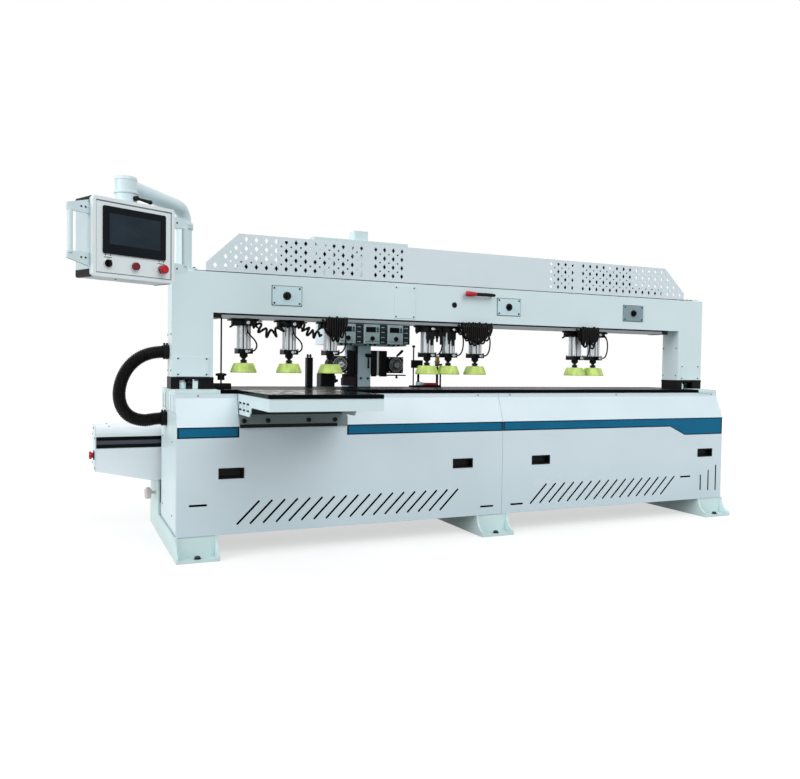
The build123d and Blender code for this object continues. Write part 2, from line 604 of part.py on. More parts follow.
tubes = []
for center in all_presses:
    line = air_drop if center in port_presses else air_loop
    tubes.append(hose([(center + x, air_y, z) for x, z in line], air_diameter, "air_tubes").part)
with BuildPart() as air_tubes:
    add(tubes)
save(air_tubes, "air_tubes")

with BuildPart() as hose_cuffs:
    for end_x, end_y, end_z in (conduit_route[0], conduit_route[-1]):
        with Locations(Location((end_x - cuff_length / 2, end_y, end_z), (0, 90, 0))):
            Cylinder(cuff_radius, cuff_length)
            Cylinder(conduit_diameter / 2 + cuff_room, cuff_length, mode=Mode.SUBTRACT)
save(hose_cuffs, "hose_cuffs")

with BuildPart() as hose_bundles:
    for center, width in zip(bundle_x, bundle_width):
        slab(span(center, width / 2), bundle_y, bundle_z)
    fillet(hose_bundles.edges(), bundle_round)
save(hose_bundles, "hose_bundles")

# Control post and swivel arm
with BuildPart() as control_post:
    post(post_x, post_y, (beam_top, beam_top + 12), post_flange)
    post(post_x, post_y, (beam_top + 12, arm_split), post_radius)
save(control_post, "control_post")

with BuildPart() as control_arm:
    with BuildLine():
        arm_line = FilletPolyline((post_x, post_y, arm_split + slip), (post_x, post_y, arm_z),
                                  (hanger_x, hanger_y, arm_z), radius=arm_bend)
    with BuildSketch(Plane(origin=arm_line @ 0, z_dir=arm_line % 0)):
        Circle(arm_radius)
    sweep()
    post(hanger_x, hanger_y, (hanger_bottom, arm_z + arm_radius), hanger_radius)
save(control_arm, "control_arm")

# Control box in the plane of its face, local X right, local Y up, local Z toward the operator
face = Plane(origin=box_center, x_dir=(cos(radians(box_turn)), sin(radians(box_turn)), 0),
             z_dir=(sin(radians(box_turn)), -cos(radians(box_turn)), 0))
with BuildPart(face) as control_box:
    slab(span(0, box_width / 2), span(0, box_height / 2), (-panel_depth - box_depth, -panel_depth))
    fillet(control_box.edges().filter_by(lambda e: abs((e % 0).dot(face.z_dir)) > 0.9), box_round)
    slab(span(0, box_width / 2 - box_wall), span(0, box_height / 2 - box_wall),
         (-panel_depth - box_depth + box_wall, -panel_depth), Mode.SUBTRACT)
    hanger_local = face.to_local_coords(Vector(hanger_x, hanger_y, hanger_bottom))
    ring_y = (box_height / 2, hanger_local.Y - slip)
    with Locations(Location((hanger_local.X, sum(ring_y) / 2, hanger_local.Z), (90, 0, 0))):
        Cylinder(hanger_radius + ring_margin, ring_y[1] - ring_y[0])
save(control_box, "control_box")

with BuildPart(face) as control_panel:
    slab(span(0, box_width / 2), span(0, box_height / 2), (-panel_depth, 0))
    fillet(control_panel.edges().filter_by(lambda e: abs((e % 0).dot(face.z_dir)) > 0.9), box_round)
    slab(span(0, box_width / 2 - panel_rim), span(0, box_height / 2 - panel_rim), (-panel_recess, 0),
         Mode.SUBTRACT)
    with Locations(*[(x, control_drop, -panel_depth / 2) for x in control_x.values()]):
        Cylinder(control_hole, panel_depth, mode=Mode.SUBTRACT)
save(control_panel, "control_panel")

with BuildPart(face) as hmi_display:
    slab(span(screen_place[0], screen_size[0] / 2), span(screen_place[1], screen_size[1] / 2),
         (-panel_recess, screen_thick - panel_recess))
    fillet(hmi_display.edges().filter_by(lambda e: abs((e % 0).dot(face.z_dir)) > 0.9), screen_round)
save(hmi_display, "hmi_display")

with BuildPart(face) as box_handles:
    for side in (-1, 1):
        bar_x = side * (box_width / 2 + handle_reach)
        with Locations(Location((bar_x, sum(handle_z) / 2, handle_back), (90, 0, 0))):
            Cylinder(handle_radius, handle_z[1] - handle_z[0])
        for end_z, brace in ((handle_z[0], 1), (handle_z[1], -1)):
            tip_x = bar_x + side * bracket_cap
            with BuildSketch(face.offset(handle_back - bracket_thick / 2)):
                with BuildLine():
                    Polyline((side * box_width / 2, end_z - brace * bracket_root[0]),
                             (side * box_width / 2, end_z + brace * bracket_root[1]),
                             (tip_x, end_z + brace * bracket_tip[0]), (tip_x, end_z - brace * bracket_tip[1]),
                             close=True)
                make_face()
            extrude(amount=bracket_thick)
save(box_handles, "box_handles")

with BuildPart(face) as panel_selector:
    knob_base = slip - panel_recess
    post(control_x["selector"], control_drop, (stem_end, knob_base), control_stem)
    post(control_x["selector"], control_drop, (knob_base, knob_base + knob_height), knob_radius)
    with Locations((control_x["selector"], control_drop, knob_grip_z)):
        Box(*knob_grip)
save(panel_selector, "panel_selector")

with BuildPart(face) as start_button:
    post(control_x["start"], control_drop, (stem_end, start_z[0]), control_stem)
    post(control_x["start"], control_drop, start_z, start_radius)
save(start_button, "start_button")

with BuildPart(face) as emergency_button:
    post(control_x["emergency"], control_drop, (stem_end, emergency_z[0]), control_stem)
    post(control_x["emergency"], control_drop, emergency_z, emergency_radius)
    rims = emergency_button.edges().filter_by(GeomType.CIRCLE).sort_by(face.location.z_axis)
    fillet(rims[-1], emergency_round)
save(emergency_button, "emergency_button")

# Clamp lever on the side of the arm's hanger, local Z away from the hanger and local X along the lever
lever_out = Vector(sin(radians(lever_turn)), -cos(radians(lever_turn)), 0)
lever_foot = Vector(hanger_x, hanger_y, lever_z) + lever_out * (hanger_radius + slip)
with BuildPart(Plane(origin=lever_foot, x_dir=(-lever_out.Y, lever_out.X, 0), z_dir=lever_out)) as clamp_lever:
    post(0, 0, (0, lever_hub_length), lever_hub_radius)
    with Locations(Location((lever_length / 2, 0, lever_stand), (0, 90, 0))):
        Cone(*lever_ends, lever_length)
save(clamp_lever, "clamp_lever")

# Drilling head: saddle over the rear axis with bearing blocks and two ways along Y
block_y = {
    "front": (saddle_y[0] + cheek, axis_beam_y[0] - block_gap),
    "rear": (axis_beam_y[1] + block_gap, saddle_y[1] - cheek),
}
with BuildPart() as x_saddle:
    slab(span(head_x, saddle_half), saddle_y, saddle_z)
    slab(span(head_x, saddle_half), (saddle_y[0], saddle_y[0] + cheek), (slot_z[0], saddle_z[0]))
    slab(span(head_x, saddle_half), (saddle_y[1] - cheek, saddle_y[1]), (slot_z[0], saddle_z[0]))
    for center in span(head_x, block_x):
        slab(span(center, block_half), block_y["front"], block_z)
        slab(span(center, block_half), block_y["rear"], (block_z[0], rear_block_top))
    groove = (rail_z[0] - slip, rail_z[1] + slip)
    groove_depth = rail_depth + slip
    slab(span(head_x, saddle_half), (axis_beam_y[0] - groove_depth, axis_beam_y[0]), groove, Mode.SUBTRACT)
    slab(span(head_x, saddle_half), (axis_beam_y[1], axis_beam_y[1] + groove_depth), groove, Mode.SUBTRACT)
    for side in (-1, 1):
        slab(sorted((head_x + side * way_x[0], head_x + side * way_x[1])), way_y, (saddle_z[1], way_top))
    post(head_x + drive_x, drive_y, saddle_z, pinion_radius + pinion_room, Mode.SUBTRACT)
save(x_saddle, "x_saddle")

with BuildPart() as x_drive_motor:
    slab(span(head_x + drive_x, drive_size / 2), span(drive_y, drive_size / 2), (saddle_z[1], drive_top))
    fillet(x_drive_motor.edges().filter_by(Axis.Z), motor_round)
    post(head_x + drive_x, drive_y, (rack_z[0], saddle_z[1]), drive_shaft)
save(x_drive_motor, "x_drive_motor")

with BuildPart() as x_pinion:
    post(head_x + drive_x, drive_y, rack_z, pinion_radius)
    post(head_x + drive_x, drive_y, rack_z, pinion_bore, Mode.SUBTRACT)
save(x_pinion, "x_pinion")

# Head slide: plate on the ways, mast with vertical ways, two rear ribs and a front plate
mast_x = head_x + mast_shift
with BuildPart() as head_slide:
    slab(span(head_x, slide_half), slide_y, (way_top + slip, slide_top))
    for side in (-1, 1):
        slab(sorted((head_x + side * (way_x[1] + slip), head_x + side * (way_x[1] + way_lip))), slide_y,
             (way_top - lip_drop, way_top + slip))
        slab(sorted((mast_x + side * z_way_x[0], mast_x + side * z_way_x[1])),
             (mast_y[0] - z_way_depth, mast_y[0]), z_way_z)
        with BuildSketch(Plane.YZ.offset(mast_x + side * (mast_half - rib_inset))):
            with BuildLine():
                Polyline((mast_y[1], slide_top), (slide_y[1], slide_top), (mast_y[1], slide_top + rib_height),
                         close=True)
            make_face()
        extrude(amount=rib_half, both=True)
    slab(span(mast_x, mast_half), mast_y, (slide_top, mast_top))
    slab([head_x + edge for edge in front_plate_x], front_plate_y, (slide_top, front_plate_top))
save(head_slide, "head_slide")

# Vertical slide: plate with an arm to each side, shoes beside the ways and holes for both spindle bodies
with BuildPart() as z_slide:
    slab(span(head_x, z_plate_half), z_plate_y, z_plate_z)
    slab(span(head_x, z_arm_half), z_plate_y, z_arm_z)
    for side in (-1, 1):
        inner_shoe, outer_shoe = z_way_x[0] - slip - z_shoe, z_way_x[1] + slip
        for shoe in (inner_shoe, outer_shoe):
            slab(sorted((mast_x + side * shoe, mast_x + side * (shoe + z_shoe))),
                 (z_plate_y[1], mast_y[0] - slip), (z_plate_z[0] + shoe_inset, z_plate_z[1] - shoe_inset))
        spindle_bar(head_x + side * spindle_x, (z_plate_y[0], mast_y[0]), spindle_z,
                    spindle_radius + spindle_room, Mode.SUBTRACT)
save(z_slide, "z_slide")

with BuildPart() as spindle_motors:
    for center in span(head_x, spindle_x):
        slab(span(center, spindle_flange / 2), (spindle_front, z_plate_y[0]),
             span(spindle_z, spindle_flange / 2))
        spindle_bar(center, (z_plate_y[0], spindle_rear), spindle_z, spindle_radius)
        spindle_bar(center, (spindle_front, mast_y[1]), spindle_z, spindle_bore, Mode.SUBTRACT)
save(spindle_motors, "spindle_motors")

for side, center in zip(("left", "right"), span(head_x, spindle_x)):
    with BuildPart() as tool_shaft:
        spindle_bar(center, (collet_y[1], mast_y[0]), spindle_z, shaft_radius)
        spindle_bar(center, collet_y, spindle_z, collet_radius)
        spindle_bar(center, (bit_tip, collet_y[0]), spindle_z, bit_radius)
    save(tool_shaft, f"tool_shaft_{side}")

# Hood over the mast, stepped in below on the left, its motor and the inverters on its front
with BuildPart() as head_hood:
    hood_span = (head_x + hood_x[0], head_x + hood_x[1])
    hood_depth = (hood_front, hood_rear)
    hood_inside = (hood_front + hood_wall, hood_rear - hood_wall)
    step_x = head_x + hood_step_x
    slab(hood_span, hood_depth, hood_z_range)
    slab((hood_span[0], step_x), hood_depth, (hood_z_range[0], hood_step_z), Mode.SUBTRACT)
    fillet(head_hood.edges().filter_by(Axis.Z), hood_round)
    slab((hood_span[0] + hood_wall, hood_span[1] - hood_wall), hood_inside, (hood_step_z, mast_top),
         Mode.SUBTRACT)
    slab((step_x + hood_wall, hood_span[1] - hood_wall), hood_inside, (hood_z_range[0], hood_step_z),
         Mode.SUBTRACT)
    motor_x = head_x + motor_center[0]
    motor_hole = motor_size / 2 + motor_gap
    slab(span(motor_x, motor_hole), span(motor_center[1], motor_hole), (mast_top, hood_z_range[1]),
         Mode.SUBTRACT)
save(head_hood, "head_hood")

with BuildPart() as z_servo_motor:
    slab(span(motor_x, motor_size / 2), span(motor_center[1], motor_size / 2), (mast_top, motor_top))
    fillet(z_servo_motor.edges().filter_by(Axis.Z), motor_round)
save(z_servo_motor, "z_servo_motor")

with BuildPart() as inverters:
    for center in inverter_x:
        slab(span(head_x + center, inverter_size[0] / 2), (hood_front - inverter_size[1], hood_front),
             inverter_z)
    fillet(inverters.edges().filter_by(Axis.Z).group_by(Axis.Y)[0], inverter_round)
save(inverters, "inverters")
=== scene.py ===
import json
from itertools import product
from math import cos, pi, radians, sin

import bmesh
import bpy
from mathutils import Matrix, Vector


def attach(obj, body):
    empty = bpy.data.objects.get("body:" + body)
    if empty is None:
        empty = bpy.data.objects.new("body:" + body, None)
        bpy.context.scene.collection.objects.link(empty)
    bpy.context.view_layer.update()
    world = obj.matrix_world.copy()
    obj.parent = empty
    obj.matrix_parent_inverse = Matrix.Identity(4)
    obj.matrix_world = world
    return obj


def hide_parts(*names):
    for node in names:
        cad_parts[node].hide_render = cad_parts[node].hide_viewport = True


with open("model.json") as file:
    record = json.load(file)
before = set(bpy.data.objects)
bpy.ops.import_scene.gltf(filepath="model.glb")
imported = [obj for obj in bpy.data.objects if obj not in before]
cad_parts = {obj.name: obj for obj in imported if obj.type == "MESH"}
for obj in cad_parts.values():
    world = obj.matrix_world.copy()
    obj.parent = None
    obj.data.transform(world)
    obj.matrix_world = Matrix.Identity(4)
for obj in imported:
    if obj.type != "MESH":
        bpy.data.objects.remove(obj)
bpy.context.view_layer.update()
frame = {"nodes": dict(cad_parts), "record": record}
MM = 0.001
scene = bpy.context.scene

# Places that several pieces share, in millimetres
front_y, cabinet_half, rear_y = -450, 1650, 92.6
foot_centers, foot_web = (-1562.5, 0, 1562.5), 96.4
table_z, beam_y, beam_top = 773.8, -262.8, 1338
plate_centers, plate_z, plate_y = (-1095, 197, 1088), 1237, -267
jack_spots = list(product((-1553.5, 1553.5), (-232, -156)))
press_zones = {1: (-1294, -1062, -841), 2: (-280, -149, 22), 3: (711, 846)}
all_presses = [x for zone in press_zones.values() for x in zone]
press_y, air_y = -194, -246
stop_y = 60
inverter_centers, module_centers = (-601, -450, -299), (-677, -526, -375, -224)
spindle_centers, spindle_z = (-635, -279), 900
post_spot, swivel_spot = (-1585, -194), (-1880, -595)
UP, DOWN, FRONT, BACK, LEFT, RIGHT = (0, 0, 1), (0, 0, -1), (0, -1, 0), (0, 1, 0), (-1, 0, 0), (1, 0, 0)


# Looks: every finish is a noise-driven shader with rounded edge shading

def tint(r, g, b):
    """A screen colour as the linear colour a shader takes."""
    def linear(c):
        c /= 255
        return c / 12.92 if c <= 0.04045 else ((c + 0.055) / 1.055) ** 2.4
    return linear(r), linear(g), linear(b), 1.0


def shade(color, factor):
    return (*[min(1.0, c * factor) for c in color[:3]], 1.0)


def new_node(nodes, kind, **values):
    """A shader node with values in its sockets."""
    node = nodes.new(kind)
    for socket, value in values.items():
        node.inputs[socket].default_value = value
    return node


def look(name, color, spread=0.05, grain=6.0, rough=(0.38, 0.5), bump=0.05, fine=420.0, metal=0.0,
         specular=0.5, edge=1.5, edge_highlight=None, stretch=None, cells=False, low_darkening=None):
    """A finish: cloudy colour, uneven gloss and fine bump, with soft edges, a painted highlight along the
    edges where asked, and colour that darkens towards the bottom where asked.
    """
    noise_range = (0.3, 0.7)
    mat = bpy.data.materials.new(name)
    mat.use_nodes = True
    nodes, links = mat.node_tree.nodes, mat.node_tree.links
    shader = nodes["Principled BSDF"]
    shader.inputs["Metallic"].default_value = metal
    shader.inputs["Specular IOR Level"].default_value = specular
    place = nodes.new("ShaderNodeTexCoord").outputs["Object"]
    spot = place
    if stretch:
        mapping = new_node(nodes, "ShaderNodeMapping", Scale=stretch)
        links.new(place, mapping.inputs["Vector"])
        spot = mapping.outputs["Vector"]

    def noise(scale, detail):
        node = new_node(nodes, "ShaderNodeTexNoise", Scale=scale, Detail=detail)
        links.new(spot, node.inputs["Vector"])
        return node.outputs["Fac"]

    def mapped(value, source, target):
        """A value carried from one range to another."""
        node = nodes.new("ShaderNodeMapRange")
        for socket, number in zip(("From Min", "From Max", "To Min", "To Max"), (*source, *target)):
            node.inputs[socket].default_value = number
        links.new(value, node.inputs["Value"])
        return node.outputs["Result"]

    def laid_over(under, over, share):
        """One colour laid over another where the share says."""
        node = nodes.new("ShaderNodeMix")
        node.data_type = "RGBA"
        node.inputs["B"].default_value = tint(*over)
        links.new(share, node.inputs["Factor"])
        links.new(under, node.inputs["A"])
        return node.outputs["Result"]

    ramp = nodes.new("ShaderNodeValToRGB")
    for stop, position, factor in zip(ramp.color_ramp.elements, noise_range, (1 - spread, 1 + spread)):
        stop.position = position
        stop.color = shade(tint(*color), factor)
    links.new(noise(grain, 5.0), ramp.inputs["Fac"])
    paint = ramp.outputs["Color"]
    links.new(mapped(noise(grain * 4.3, 4.0), noise_range, rough), shader.inputs["Roughness"])

    if cells:
        tex = new_node(nodes, "ShaderNodeTexVoronoi", Scale=fine)
        links.new(spot, tex.inputs["Vector"])
        relief = tex.outputs["Distance"]
    else:
        relief = noise(fine, 3.0)
    lift = new_node(nodes, "ShaderNodeBump", Strength=bump, Distance=MM)
    links.new(relief, lift.inputs["Height"])
    links.new(lift.outputs["Normal"], shader.inputs["Normal"])

    if edge:
        corner = new_node(nodes, "ShaderNodeBevel", Radius=edge * MM)
        corner.samples = 4
        links.new(corner.outputs["Normal"], lift.inputs["Normal"])
        # Painted highlight: where the rounded normal turns from the true one, the edge takes a lighter
        # colour, standing for light caught on rounded edges.
        if edge_highlight:
            true = nodes.new("ShaderNodeNewGeometry")
            dot = nodes.new("ShaderNodeVectorMath")
            dot.operation = "DOT_PRODUCT"
            links.new(corner.outputs["Normal"], dot.inputs[0])
            links.new(true.outputs["True Normal"], dot.inputs[1])
            paint = laid_over(paint, edge_highlight, mapped(dot.outputs["Value"], (0.98, 0.72), (0.0, 0.55)))
    # Darker towards the bottom: the colour is laid over with a second colour, most at the lower height and
    # not at all above the higher one.
    if low_darkening:
        low, high, most, lower_colour = low_darkening
        height = nodes.new("ShaderNodeSeparateXYZ")
        links.new(place, height.inputs["Vector"])
        paint = laid_over(paint, lower_colour, mapped(height.outputs["Z"], (low, high), (most, 0.0)))
    links.new(paint, shader.inputs["Base Color"])
    return mat


# The lighter edge colours given to these finishes are painted highlights along their edges.
white = look("white_paint", (208, 227, 231), 0.025, 3.0, (0.34, 0.46), 0.05, 520.0, edge_highlight=(236, 246, 248))
cover_white = look("cover_paint", (207, 223, 230), 0.03, 2.4, (0.3, 0.42), 0.05, 520.0,
                   edge_highlight=(234, 243, 247), low_darkening=(0.1, 0.4, 0.3, (168, 190, 200)))
frame_white = look("frame_paint", (204, 226, 226), 0.05, 4.0, (0.42, 0.56), 0.09, 380.0,
                   low_darkening=(0.0, 0.1, 0.2, (160, 178, 180)))
upper_white = look("upper_cover_paint", (208, 222, 228), 0.03, 3.0, (0.34, 0.46), 0.05, 520.0,
                   edge_highlight=(234, 242, 247))
plate_paint = look("plate_paint", (194, 221, 227), 0.04, 9.0, (0.36, 0.48), 0.05, 520.0, edge_highlight=(226, 238, 241))
# Painted light: the casing's white is lighter than the white paint, making up for the shade the column casts
# on it.
casing_paint_lit = look("casing_paint_lit", (234, 243, 247), 0.03, 4.0, (0.36, 0.5), 0.06, 480.0,
                    edge_highlight=(238, 245, 248))
box_paint = look("box_paint", (194, 211, 215), 0.025, 5.0, (0.36, 0.48), 0.05, 520.0, edge_highlight=(230, 240, 242))
panel_paint = look("panel_paint", (228, 238, 240), 0.02, 5.0, (0.36, 0.48), 0.05, 520.0, edge=1.0)
# Painted shade: a darker copy of the plate paint, laid on the last switch plate.
plate_shade = look("plate_shade", (126, 150, 160), 0.06, 9.0, (0.36, 0.48), 0.05, 520.0, edge=0.8)
grey = look("grey_paint", (108, 124, 125), 0.08, 5.0, (0.4, 0.52), 0.07, 420.0, edge_highlight=(150, 164, 166))
# Painted light: paler than the slides' own blue-grey, making up for the shade under the beam.
slate = look("slate_paint", (184, 210, 218), 0.08, 7.0, (0.34, 0.5), 0.06, 420.0, edge_highlight=(212, 226, 231))
black = look("black_paint", (8, 9, 11), 0.35, 14.0, (0.4, 0.55), 0.08, 460.0, specular=0.12,
             edge_highlight=(40, 44, 48))
table_black = look("table_black", (5, 7, 8), 0.4, 2.2, (0.2, 0.5), 0.08, 300.0, specular=0.02,
                   edge_highlight=(30, 34, 36), stretch=(0.25, 3.0, 1.0))
extension_black = look("extension_black", (7, 13, 14), 0.5, 7.0, (0.08, 0.3), 0.5, 45.0, specular=0.02,
                       edge_highlight=(20, 24, 26), stretch=(1.0, 0.4, 1.0))
maroon = look("maroon_paint", (40, 22, 28), 0.2, 18.0, (0.4, 0.55), 0.08, 500.0, specular=0.2, edge=1.0)
aluminium = look("aluminium", (196, 201, 204), 0.07, 30.0, (0.28, 0.44), 0.05, 700.0, metal=0.85,
                 stretch=(1.0, 1.0, 0.06), edge=0.8)
steel = look("steel", (176, 180, 184), 0.1, 40.0, (0.22, 0.4), 0.05, 800.0, metal=0.95, edge=0.6)
dark_steel = look("dark_steel", (40, 44, 48), 0.18, 40.0, (0.3, 0.46), 0.06, 700.0, metal=0.5, specular=0.2,
                  edge=0.8)
rail_dark = look("rail_dark", (70, 77, 84), 0.2, 20.0, (0.3, 0.44), 0.05, 600.0, metal=0.4, specular=0.2,
                 stretch=(0.1, 1.0, 1.0), edge=0.8)
rail_grey = look("rail_grey", (138, 146, 150), 0.1, 16.0, (0.34, 0.48), 0.05, 600.0, metal=0.2, specular=0.2,
                 stretch=(0.06, 1.0, 1.0), edge=0.8)
bronze = look("bronze", (134, 116, 80), 0.14, 30.0, (0.3, 0.45), 0.06, 700.0, metal=0.8, edge=0.8)
plastic = look("black_plastic", (7, 8, 9), 0.3, 25.0, (0.36, 0.5), 0.12, 900.0, specular=0.14, edge=0.8,
               edge_highlight=(34, 36, 39))
rubber = look("hose_rubber", (7, 7, 8), 0.3, 30.0, (0.42, 0.6), 0.12, 800.0, specular=0.14, edge=0.0)
lime = look("lime_pad", (194, 220, 122), 0.26, 34.0, (0.55, 0.7), 0.3, 420.0, specular=0.25, edge=0.0,
            stretch=(1.0, 1.0, 0.16), cells=True)
foam = look("dark_foam", (4, 5, 6), 0.4, 60.0, (0.8, 0.95), 0.6, 260.0, specular=0.05, edge=0.0, cells=True)
red = look("red_plastic", (184, 18, 42), 0.1, 30.0, (0.26, 0.38), 0.05, 800.0, specular=0.3, edge=0.8)
dark_red = look("dark_red_plastic", (112, 12, 24), 0.14, 30.0, (0.24, 0.36), 0.05, 800.0, specular=0.3,
                edge=0.8)
screen = look("screen_bezel", (9, 16, 22), 0.2, 12.0, (0.24, 0.34), 0.03, 900.0, specular=0.1, edge=0.8)
glass = look("screen_glass", (38, 50, 60), 0.2, 9.0, (0.2, 0.3), 0.02, 600.0, specular=0.1, edge=0.0,
             stretch=(1.0, 1.0, 2.2))
# Painted light: paler than the inverters' own grey, making up for the shade under the beam.
inverter = look("inverter_grey", (186, 208, 213), 0.05, 16.0, (0.42, 0.55), 0.1, 800.0, edge=0.8)
module = look("module_grey", (50, 58, 64), 0.14, 20.0, (0.44, 0.58), 0.1, 800.0, specular=0.2, edge=0.8)
# Painted shade: the grey of the blocks that stand for the hood seen in shade through the perforated cover.
rack_shade_grey = look("rack_shade_grey", (72, 82, 90), 0.25, 60.0, (0.44, 0.58), 0.1, 700.0, specular=0.15, edge=0.8)
gauge_pale = look("gauge_body", (224, 212, 208), 0.06, 24.0, (0.4, 0.5), 0.05, 700.0, edge=0.8)
teal = look("teal_band", (20, 100, 136), 0.06, 8.0, (0.4, 0.5), 0.04, 600.0, specular=0.08, edge=0.0)
ink = look("dark_line", (6, 36, 54), 0.2, 14.0, (0.45, 0.6), 0.04, 600.0, specular=0.08, edge=0.0)
seam_grey = look("seam_grey", (120, 134, 140), 0.08, 20.0, (0.45, 0.55), 0.05, 600.0, specular=0.2, edge=0.0)

slot_looks = {
    "white_paint": white, "black_paint": black, "grey_paint": grey, "slate_paint": slate,
    "aluminium": aluminium, "steel": steel, "black_plastic": plastic, "lime_pad": lime, "hose": rubber,
    "red_plastic": red, "screen": screen, "inverter_grey": inverter,
}
node_looks = {
    "front_cover_left": cover_white, "front_cover_right": cover_white, "cabinet_covers": cover_white,
    "floor_feet": frame_white, "base_frame": frame_white, "table_top": table_black,
    "extension_top": extension_black, "perforated_cover": upper_white, "control_panel": panel_paint,
    "control_box": box_paint, "x_rails": rail_dark, "press_rail": rail_grey, "start_button": dark_red,
    "x_pinion": dark_steel, "switch_plates": plate_paint, "x_beam_cover": casing_paint_lit, "x_beam": black,
    "press_rods_1": dark_steel, "press_rods_2": dark_steel, "press_rods_3": dark_steel,
}
for part in frame["record"]["subparts"]:
    node = frame["nodes"][part["node"]]
    node.data.materials.clear()
    node.data.materials.append(node_looks.get(part["node"], slot_looks[part["material_slot"]]))


# Forms: closed solids in millimetres, gathered into one piece

class Form:
    def __init__(self, place=None):
        self.bm = bmesh.new()
        self.place = place or Matrix()

    def vert(self, spot):
        return self.bm.verts.new(self.place @ Vector(spot))

    def outline(self, pairs, axis, depth):
        """Points of a flat outline, given in the two axes that are left, at a depth along the third."""
        index = "XYZ".index(axis)
        return [self.vert((*pair[:index], depth, *pair[index:])) for pair in pairs]

    def circle(self, middle, side, other, radius, steps):
        """Points round a middle, in the plane of two directions."""
        turns = [2 * pi * k / steps for k in range(steps)]
        return [self.vert(middle + (side * cos(t) + other * sin(t)) * radius) for t in turns]

    def skin(self, rings, closed=False, smooth=True):
        """Faces between neighbouring rings of points; an open row of rings gets end caps."""
        pairs = list(zip(rings, rings[1:]))
        if closed:
            pairs.append((rings[-1], rings[0]))
        else:
            self.bm.faces.new(rings[0][::-1])
            self.bm.faces.new(rings[-1])
        for first, second in pairs:
            for k in range(len(first)):
                j = (k + 1) % len(first)
                self.bm.faces.new((first[k], first[j], second[j], second[k])).smooth = smooth

    def prism(self, pairs, axis, low, high, soft=0.6, segments=2):
        """A flat outline carried from low to high along an axis, its edges rounded where soft isn't 0."""
        rings = [self.outline(pairs, axis, depth) for depth in (low, high)]
        self.skin(rings, smooth=len(pairs) > 12)
        if soft:
            edges = {e for v in rings[0] + rings[1] for e in v.link_edges}
            made = bmesh.ops.bevel(self.bm, geom=list(edges), offset=soft, segments=segments, profile=0.5,
                                   affect="EDGES", clamp_overlap=True)
            for face in made["faces"]:
                face.smooth = True

    def band(self, inner, outer, axis, low, high):
        """A flat ring between two outlines of as many points, carried from low to high along an axis."""
        rows = ((inner, low), (outer, low), (outer, high), (inner, high))
        self.skin([self.outline(pairs, axis, depth) for pairs, depth in rows], closed=True, smooth=False)

    def block(self, x, y, z, soft=0.6, segments=2):
        corners = [(x[0], y[0]), (x[1], y[0]), (x[1], y[1]), (x[0], y[1])]
        self.prism(corners, "Z", z[0], z[1], soft, segments)

    def turned(self, origin, axis, profile, steps=24, ring=False):
        """A profile of (radius, distance) pairs turned about an axis; a ring closes on its first pair."""
        axis = Vector(axis).normalized()
        side = axis.orthogonal().normalized()
        other = axis.cross(side)
        middle = Vector(origin)
        rings = [self.circle(middle + axis * along, side, other, radius, steps) for radius, along in profile]
        self.skin(rings, closed=ring)

    def rod(self, points, radius, steps=12):
        """A round bar through a row of points; radius may be one number or one for each point."""
        spots = [Vector(p) for p in points]
        radii = radius if isinstance(radius, (list, tuple)) else [radius] * len(spots)
        rows = zip(frames_along(spots), radii)
        self.skin([self.circle(spot, side, other, reach, steps) for (_, spot, side, other), reach in rows])

    def screw(self, spot, axis, radius=4.0, height=2.6):
        """A pan head with a socket, standing on a surface."""
        self.turned(spot, axis, [(radius, 0), (radius, height * 0.55), (radius * 0.82, height),
                                 (radius * 0.52, height), (radius * 0.46, height * 0.45)], 12)

    def hexagon(self, spot, axis, radius, height):
        """A hexagon head with its outer rim chamfered by 1 mm."""
        self.turned(spot, axis, [(radius, 0), (radius, height - 1), (radius - 1, height)], 6)

    def done(self, name, body, slot, finish=None, sharp=38):
        """The form as a piece on a body, in the finish of its slot unless another is given."""
        bmesh.ops.recalc_face_normals(self.bm, faces=self.bm.faces)
        mesh = bpy.data.meshes.new(name)
        rounded = [face.smooth for face in self.bm.faces]
        self.bm.to_mesh(mesh)
        self.bm.free()
        mesh.transform(Matrix.Scale(MM, 4))
        mesh.materials.append(finish or slot_looks[slot])
        mesh.set_sharp_from_angle(angle=radians(sharp))
        mesh.polygons.foreach_set("use_smooth", rounded)
        return place_piece(bpy.data.objects.new(name, mesh), body)


def frames_along(spots):
    """Distance, place and two side directions at each point of a line."""
    side = (spots[1] - spots[0]).orthogonal().normalized()
    gone, rows = 0.0, []
    for i, spot in enumerate(spots):
        ahead = (spots[min(i + 1, len(spots) - 1)] - spots[max(i - 1, 0)]).normalized()
        side = (side - ahead * side.dot(ahead)).normalized()
        if i:
            gone += (spot - spots[i - 1]).length
        rows.append((gone, spot, side.copy(), ahead.cross(side)))
    return rows


def place_piece(obj, body):
    scene.collection.objects.link(obj)
    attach(obj, body)
    return obj


def metres(points):
    return [tuple(c * MM for c in p) for p in points]


# Cords: each follows one smooth spline through its route's points

def smooth_line(name, points, depth=0.0, steps=12):
    data = bpy.data.curves.new(name, "CURVE")
    data.dimensions = "3D"
    data.resolution_u = steps
    data.bevel_depth = depth
    data.bevel_resolution = 4
    data.use_fill_caps = True
    line = data.splines.new("NURBS")
    line.points.add(len(points) - 1)
    for spot, p in zip(line.points, points):
        spot.co = (*p, 1.0)
    line.order_u = 3
    line.use_endpoint_u = True
    return bpy.data.objects.new(name, data)


def followed(points, steps=24):
    """Points along the smooth spline of a route, in metres."""
    guide = smooth_line("guide", points, steps=steps)
    mesh = bpy.data.meshes.new_from_object(guide)
    spots = [v.co.copy() for v in mesh.vertices]
    data = guide.data
    bpy.data.objects.remove(guide)
    bpy.data.curves.remove(data)
    bpy.data.meshes.remove(mesh)
    return spots


def curve_length(points):
    spots = followed(points)
    return sum((b - a).length for a, b in zip(spots, spots[1:]))


